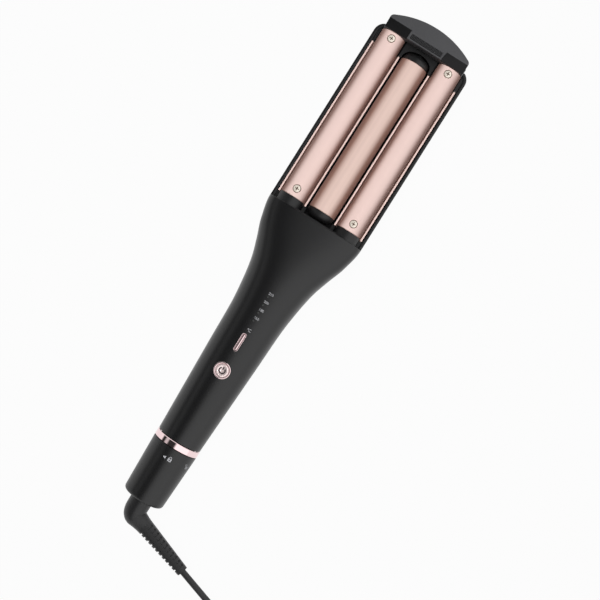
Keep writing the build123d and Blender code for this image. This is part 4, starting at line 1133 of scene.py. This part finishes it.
def tip_cap():
    piece = place(raised(outline(cap_outline()), 26.2, CAP_FACE_Z), "cap_moulding")
    cutters = []
    for x0, x1 in ((-40, -TAB_HALF), (TAB_HALF, 40)):
        bm = bmesh.new()
        ring = [(T_CAP - 1, 35.25), (324.6, CAP_FACE_Z), (324.6, 42), (T_CAP - 1, 42)]
        bm.faces.new([bm.verts.new((x0, along(t), z)) for t, z in ring])
        cutters.append(extruded(bm, x1 - x0, 0, 0))
    cutters.append(box(-TAB_HALF, TAB_HALF, T_CAP - 1, 324.3, 0, 29.8))
    cutters.append(box(-10.7, 10.7, 320.0, 323.0, CAP_FACE_Z - 1.2, 42))
    carve(piece, *cutters)
    return rounded(piece, 0.45, least=28, miter="MITER_ARC")


cap = tip_cap()
settle(cap, "front_arm", "cap_grey", "tip_cap")
# Painted shade: the slanting shoulders take a darker finish where they turn away from the light.
cap.data.materials.append(FINISHES["cap_shoulder_painted_shade"])
for face in cap.data.polygons:
    tilted = face.normal.y < -0.2 and face.normal.z > 0.3
    if tilted and abs(face.center.x) > (TAB_HALF - 0.2) * MM:
        face.material_index = 1
print("dark faces of the cap", sum(face.material_index for face in cap.data.polygons))

# %% [markdown]
# Below its face the cap has a lip round its end, and two spigots that fill the tubes.


# %% Lip and spigots of the cap
def cap_inside():
    piece = place(raised(outline(cap_outline()), 20.0, 26.4), "cap_lip")
    carve(piece, box(-40, 40, 300, 324.3, 0, 60))
    bm = soften(as_bmesh(piece), 0.35, least=40)
    rods = []
    for side in (-1, 1):
        x = side * PITCH
        rods.append(rod(BARREL_R, T_CAP, 324.3, x, BARREL_Z, 96))
        rods.append(rod(BARREL_R - 1.3, BARREL_T[1] - 11.9, BARREL_T[1] + 1, x, BARREL_Z, 64))
    return joined(bm, *rods)


made(cap_inside(), "cap_inside", "front_arm", "cap_grey")

# %% [markdown]
# A row of fine ribs lies in the slot of the cap, where a thumb pushes.


# %% Ribbed thumb strip
def thumb_strip():
    half, low, high = 10.6, 320.1, 322.9
    base = CAP_FACE_Z - 1.15
    ribs = 24
    step = 2 * half / ribs
    parts = [box(-half, half, low, high, base, base + 0.5)]
    for i in range(ribs):
        x = -half + (i + 0.5) * step
        rib = box(x - step * 0.3, x + step * 0.3, low, high, base + 0.3, CAP_FACE_Z - 0.1)
        parts.append(soften(rib, 0.12))
    return joined(*parts)


made(thumb_strip(), "thumb_strip", "front_arm", "grip_black", "tip_grip")


# %% [markdown]
# ## Buttons and their rims
# The round power button and the long temperature button are plated in bright rose gold.
# Each sits in a thin rim of the same metal, with a dark gap between them.

# %% Power button
SWITCH_Z = 27.25


def power_rim():
    top = power_top + 0.4
    profile = [(4.25, top - 3.2), (5.15, top - 3.2), (5.15, top - 0.25), (4.95, top - 0.05),
               (4.75, top), (4.5, top - 0.05), (4.25, top - 0.3)]
    return moved(turned(profile, upright=True), 0, along(T_POWER))


def power_key():
    top = power_top + 0.3
    profile = [(0, top - 3.6), (4.1, top - 3.6), (4.1, top - 0.5), (3.9, top - 0.18),
               (3.5, top - 0.02), (2.9, top - 0.05), (2.0, top - 0.22), (0.9, top - 0.3),
               (0, top - 0.32)]
    face = moved(turned(profile, closed=False, upright=True), 0, along(T_POWER))
    foot = post(4.8, top - 4.8, top - 4.2, 0, T_POWER, 96)
    stem = post(1.5, SWITCH_Z, top - 3, 0, T_POWER, 96)
    return joined(face, foot, stem)


made(power_rim(), "power_rim", "front_arm", "rose_chrome", "power_ring")
key = made(power_key(), "power_key", "power_button", "rose_chrome", "power_button")
key.data.materials[0] = FINISHES["rose_button"]

# %% [markdown]
# The temperature button is a pill in a rim that is a pill with a smaller one cut out. Both
# buttons have a foot inside the cover, which keeps them in, and a stem to their switch.


# %% Temperature button
def pill_ring(outer, inner, t0, t1, low, high, name):
    piece = place(raised(pill(outer, t0, t1), low, high), name)
    gap = outer - inner
    carve(piece, raised(pill(inner, t0 + gap, t1 - gap), low - 1, high + 1))
    return rounded(piece, 0.15)


temp_rim = pill_ring(1.45, 1.12, T_TEMP - 6.15, T_TEMP + 6.15, temp_top - 2.7, temp_top + 0.3,
                     "temp_rim")
settle(temp_rim, "front_arm", "rose_chrome", "temp_ring")
temp_key = joined(
    soften(raised(pill(0.72, T_TEMP - 5.4, T_TEMP + 5.4), temp_top - 4.4, temp_top + 0.25), 0.3),
    raised(pill(1.7, T_TEMP - 6.2, T_TEMP + 6.2), temp_top - 4.75, temp_top - 3.95),
    post(1.2, SWITCH_Z, temp_top - 4.0, 0, T_TEMP),
)
made(temp_key, "temp_key", "temp_button", "rose_chrome", "temp_button")


# %% [markdown]
# ## Collar and ring
# Below the handle a bright ring and a black lock collar go round the cord end. Both are
# turned pieces. The collar tapers a little and is rounded at its lower edge.

# %% Ring and collar
def bright_ring():
    return lathed([(11.5, 37.9), (14.6, 37.9), (14.9, 38.2), (14.9, 41.6), (14.6, 41.9),
                   (11.5, 41.9)])


def collar_radius(t):
    return 13.4 + 1.4 * t / 37.6


def collar():
    profile = [(7.5, 0.0), (11.7, 0.0), (12.3, 0.12), (12.8, 0.45), (13.2, 1.0), (13.45, 1.8)]
    profile += [(collar_radius(t), t) for t in spaced(3.0, 37.2, 3.4)]
    profile += [(14.55, 37.6), (11.8, 37.6), (11.8, 31.0), (12.9, 31.0), (12.9, 22.0),
                (11.8, 22.0), (11.8, 3.0), (7.5, 3.0)]
    return lathed(profile)


made(bright_ring(), "bright_ring", "front_arm", "rose_chrome", "collar_ring")
made(collar(), "collar_turned", "lock_collar", "collar_black", "lock_collar")


# %% [markdown]
# ## Slider on the back
# The knob is a small pill with a thumb ridge across it. It runs in a sunk pill-shaped
# track, and a scale of four marks beside it shows how far the middle barrel is raised.

# %% Knob
KNOB_T = 146.5


def knob():
    body = soften(raised(pill(5.6, KNOB_T - 7.6, KNOB_T + 7.6), 0.55, 1.5), 0.3, least=60)
    ridge = soften(box(-4.9, 4.9, KNOB_T - 0.55, KNOB_T + 0.55, 0.25, 0.9), 0.22, least=60)
    stem = box(-1.6, 1.6, KNOB_T - 3, KNOB_T + 3, 1.3, 4.3)
    return joined(body, ridge, stem)


made(knob(), "knob_pill", "depth_slider", "collar_black", "depth_knob")

# %% [markdown]
# ## Printed marks
# The signs are thin prints of light ink. Text is made with Blender's own font and turned
# into a mesh. Each flat print is then laid on the surface it belongs to, point by point,
# and given a hair of thickness.

# %% Ink
finish("ink_light", (0.42, 0.42, 0.44), 0.5, vary=0.04, depth=0.000002)
finish("ink_dark", (0.03, 0.022, 0.024), 0.35, vary=0.04, depth=0.000002)


def flat_text(words, size):
    data = bpy.data.curves.new("words", "FONT")
    data.body = words
    data.size = size
    data.align_x = "CENTER"
    data.align_y = "CENTER"
    words_object = linked("words", data)
    bm = bmesh.new()
    bm.from_mesh(worked_out(words_object))
    bpy.data.objects.remove(words_object)
    bmesh.ops.remove_doubles(bm, verts=bm.verts, dist=1e-4)
    return bm


def arc_band(radius, width, start, sweep, x=0.0, y=0.0, steps=24):
    """Flat band along an arc, as the shackle of a padlock."""
    bm = bmesh.new()
    a = bm.verts.new((radius - width / 2, 0, 0))
    b = bm.verts.new((radius + width / 2, 0, 0))
    edge = bm.edges.new((a, b))
    rotated(bm, math.radians(start))
    bmesh.ops.spin(bm, geom=[a, b, edge], cent=(0, 0, 0), axis=(0, 0, 1),
                   angle=math.radians(sweep), steps=steps)
    return moved(bm, x, y)


def patch(x0, x1, y0, y1):
    return outline([(x0, y0), (x1, y0), (x1, y1), (x0, y1)])


def printed(name, flat, surface, body, slot, thick=0.1, proud=0.04):
    """Lays a flat bmesh on a surface and gives it its thickness."""
    bmesh.ops.triangulate(flat, faces=flat.faces)
    bmesh.ops.subdivide_edges(flat, edges=flat.edges, cuts=1)
    bmesh.ops.triangulate(flat, faces=flat.faces)
    grown = bmesh.ops.extrude_face_region(flat, geom=flat.faces[:])["geom"]
    upper = {g for g in grown if isinstance(g, bmesh.types.BMVert)}
    for vert in flat.verts:
        height = proud if vert in upper else proud - thick
        vert.co = surface(vert.co.x, vert.co.y, height)
    outward(flat)
    piece = place(flat, name)
    piece.data.materials.append(FINISHES[slot])
    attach(piece, body)
    print(name, "faces", len(piece.data.polygons), "on", body)


def height_at(x, half, base, top, square):
    """Height of a section at x, found by halving the span that holds it."""
    low, high = 0.0, 1.0
    for _ in range(30):
        middle = (low + high) / 2
        if section(middle, half, base, top, square)[0] < abs(x):
            low = middle
        else:
            high = middle
    return section(low, half, base, top, square)[1]


def on_cover(x, y, height):
    """Point above the cover at x and y, y in millimetres from the middle of the tool."""
    half, part, front, square = outline_at(y + LENGTH / 2)
    z = height_at(x, half, part + PART_GAP / 2, front, square)
    return Vector((x, y, z + height))


def on_back(x, y, height):
    half, part, _, square = outline_at(y + LENGTH / 2)
    z = max(0.0, height_at(x, half, part - PART_GAP / 2, BACK_Z, square))
    return Vector((x, y, z - height))


def on_collar(x, y, height):
    radius = collar_radius(y + LENGTH / 2)
    angle = x / radius
    reach = radius + height
    return Vector((reach * math.sin(angle), y, AXIS_Z + reach * math.cos(angle)))

# %% [markdown]
# Each lamp has its temperature above it, and the unit stands below the first lamp.

# %% Numbers and unit on the cover
NUMBER_ABOVE = 2.1
marks = []
for number, t in zip(("160", "180", "200", "210"), LAMP_T):
    marks.append(moved(flat_text(number, 2.2), 0.8, along(t + NUMBER_ABOVE)))
degree = arc_band(0.32, 0.2, 0, 360, -1.35, 0.65)
marks.append(moved(joined(flat_text("C", 2.6), degree), 1.5, along(122.3)))
printed("scale_marks", joined(*marks), on_cover, "front_arm", "ink_light")

# %% [markdown]
# An arrow, a closed padlock and an open one show which way the collar locks.


# %% Signs on the collar
def padlock(x, y, opened):
    wide, gap = 1.2, 0.3
    sides = [
        patch(x - wide, x - gap, y - 1.2, y + 0.65), patch(x + gap, x + wide, y - 1.2, y + 0.65),
        patch(x - gap, x + gap, y - 1.2, y - 0.75), patch(x - gap, x + gap, y + 0.1, y + 0.65),
    ]
    lean = 1.5 if opened else 0.0
    shackle = arc_band(0.75, 0.34, 0, 180, x - lean, y + 1.0)
    legs = [patch(x + 0.58 - lean, x + 0.92 - lean, y + 0.6, y + 1.02)]
    if not opened:
        legs.append(patch(x - 0.92, x - 0.58, y + 0.6, y + 1.02))
    return joined(shackle, *sides, *legs)


sign_y = along(31.0)
arrow = outline([(-2.9, sign_y), (-0.9, sign_y - 0.95), (-0.9, sign_y + 0.95)])
signs = joined(arrow, padlock(1.9, sign_y, False), padlock(15.8, sign_y, True))
printed("collar_signs", signs, on_collar, "lock_collar", "ink_light")

# %% [markdown]
# The power button's face is a shallow bowl, and its sign follows it. The scale on the back
# has a dash for each of four knob places, shorter as the barrel sinks.


# %% Sign on the power button, and the scale on the back
def on_key(x, y, height):
    r = math.hypot(x, y - along(T_POWER))
    return Vector((x, y, power_top - 0.02 + 0.022 * r * r + height))


sign = joined(arc_band(1.85, 0.9, 125, 290), patch(-0.42, 0.42, 0.6, 2.8))
moved(sign, 0, along(T_POWER))
printed("power_sign", sign, on_key, "power_button", "ink_dark", proud=0.05)


MARKS = ((146.5, 2.2), (138.0, 1.8), (132.0, 1.3), (125.5, 0.8))
dashes = []
for t, tall in MARKS:
    dashes.append(patch(-9.45, -8.75, along(t) - tall / 2, along(t) + tall / 2))
printed("back_marks", joined(*dashes), on_back, "rear_arm", "ink_light", proud=0.02)

# %% [markdown]
# ## Table, light and surroundings
# The tool lies on a white table that glows where the camera sees it, so that it stays white
# at the edges, and is a middle grey for the light that it sends back.

# %% Table
FLOOR_Z, FLOOR_HALF = -9.5, 9000
floor_mesh = bmesh.new()
bmesh.ops.create_grid(floor_mesh, x_segments=1, y_segments=1, size=FLOOR_HALF)
floor = place(moved(floor_mesh, 0, 0, FLOOR_Z), "table")
table_finish = bpy.data.materials.new("table_white")
table_finish.use_nodes = True
paint = Paint(table_finish.node_tree)
cloth = paint.add("BsdfDiffuse", {}, {"Color": (0.35, 0.35, 0.35, 1)})
glow = paint.add("Emission", {}, {"Color": (1, 1, 1, 1), "Strength": 1.0})
surface = paint.add("MixShader", {}, {0: paint.seen() * 0.96, 1: cloth, 2: glow})
paint.add("OutputMaterial", {}, {"Surface": surface})
floor.data.materials.append(table_finish)
print("table at", FLOOR_Z, "mm")

# %% [markdown]
# A cylinder shows its surroundings as long stripes, so they matter as much as the lamp. A
# broad bright panel stands towards +X and a thin strip towards -X. The sky between them is
# dark, and low down it is white like the table.

# %% Surroundings
PANEL = (40, 32, 13, 1.25)
STRIP = (-47, 4, 9, 0.6)
DARK = 0.03
world = bpy.data.worlds.new("studio")
world.use_nodes = True
bpy.context.scene.world = world
sky = Paint(world.node_tree)
aim = sky.add("TexCoord", {}, {}, out="Generated")
aim_x = sky.add("SeparateXYZ", {}, {0: aim}, out=0)
aim_z = sky.add("SeparateXYZ", {}, {0: aim}, out=2)
lean = sky.add("Math", {"operation": "ARCTAN2"}, {0: aim_x, 1: aim_z})


def stripe(middle, half, soft, strength):
    """Soft strip of light at an angle from overhead, towards +X, in degrees."""
    off = sky.add("Math", {"operation": "ABSOLUTE"}, {0: lean - math.radians(middle)})
    return sky.ease(off, math.radians(half), math.radians(half + soft), strength, 0.0)


low_down = sky.ease(aim_z, 0.20, 0.36, 1.0, 0.0)
overhead = stripe(*PANEL) + stripe(*STRIP) + DARK
level = overhead * (1 - low_down) + low_down
seen = sky.seen()
around = seen * level + (1 - seen) * DARK
back = sky.add("Background", {}, {"Color": (1, 1, 1, 1), "Strength": around})
sky.add("OutputWorld", {}, {"Surface": back})
print("panel and strip at", PANEL[0], "and", STRIP[0], "degrees from overhead")

# %% [markdown]
# One long soft lamp hangs nearly overhead, aimed at the middle of the tool. It is kept out
# of reflections, where the panel and the strip do its work.

# %% Lamp
LAMP_AT = Vector((-0.04, 0.05, 1.17))
light = bpy.data.lights.new("key", "AREA")
light.shape = "RECTANGLE"
light.size, light.size_y = 0.2, 0.6
light.energy = 14.0
lamp = linked("key", light)
lamp.location = LAMP_AT
lamp.rotation_euler = (-LAMP_AT).to_track_quat("-Z", "Y").to_euler()
lamp.visible_glossy = False
bpy.context.scene.view_settings.view_transform = "Standard"
print("lamp", light.energy, "W")
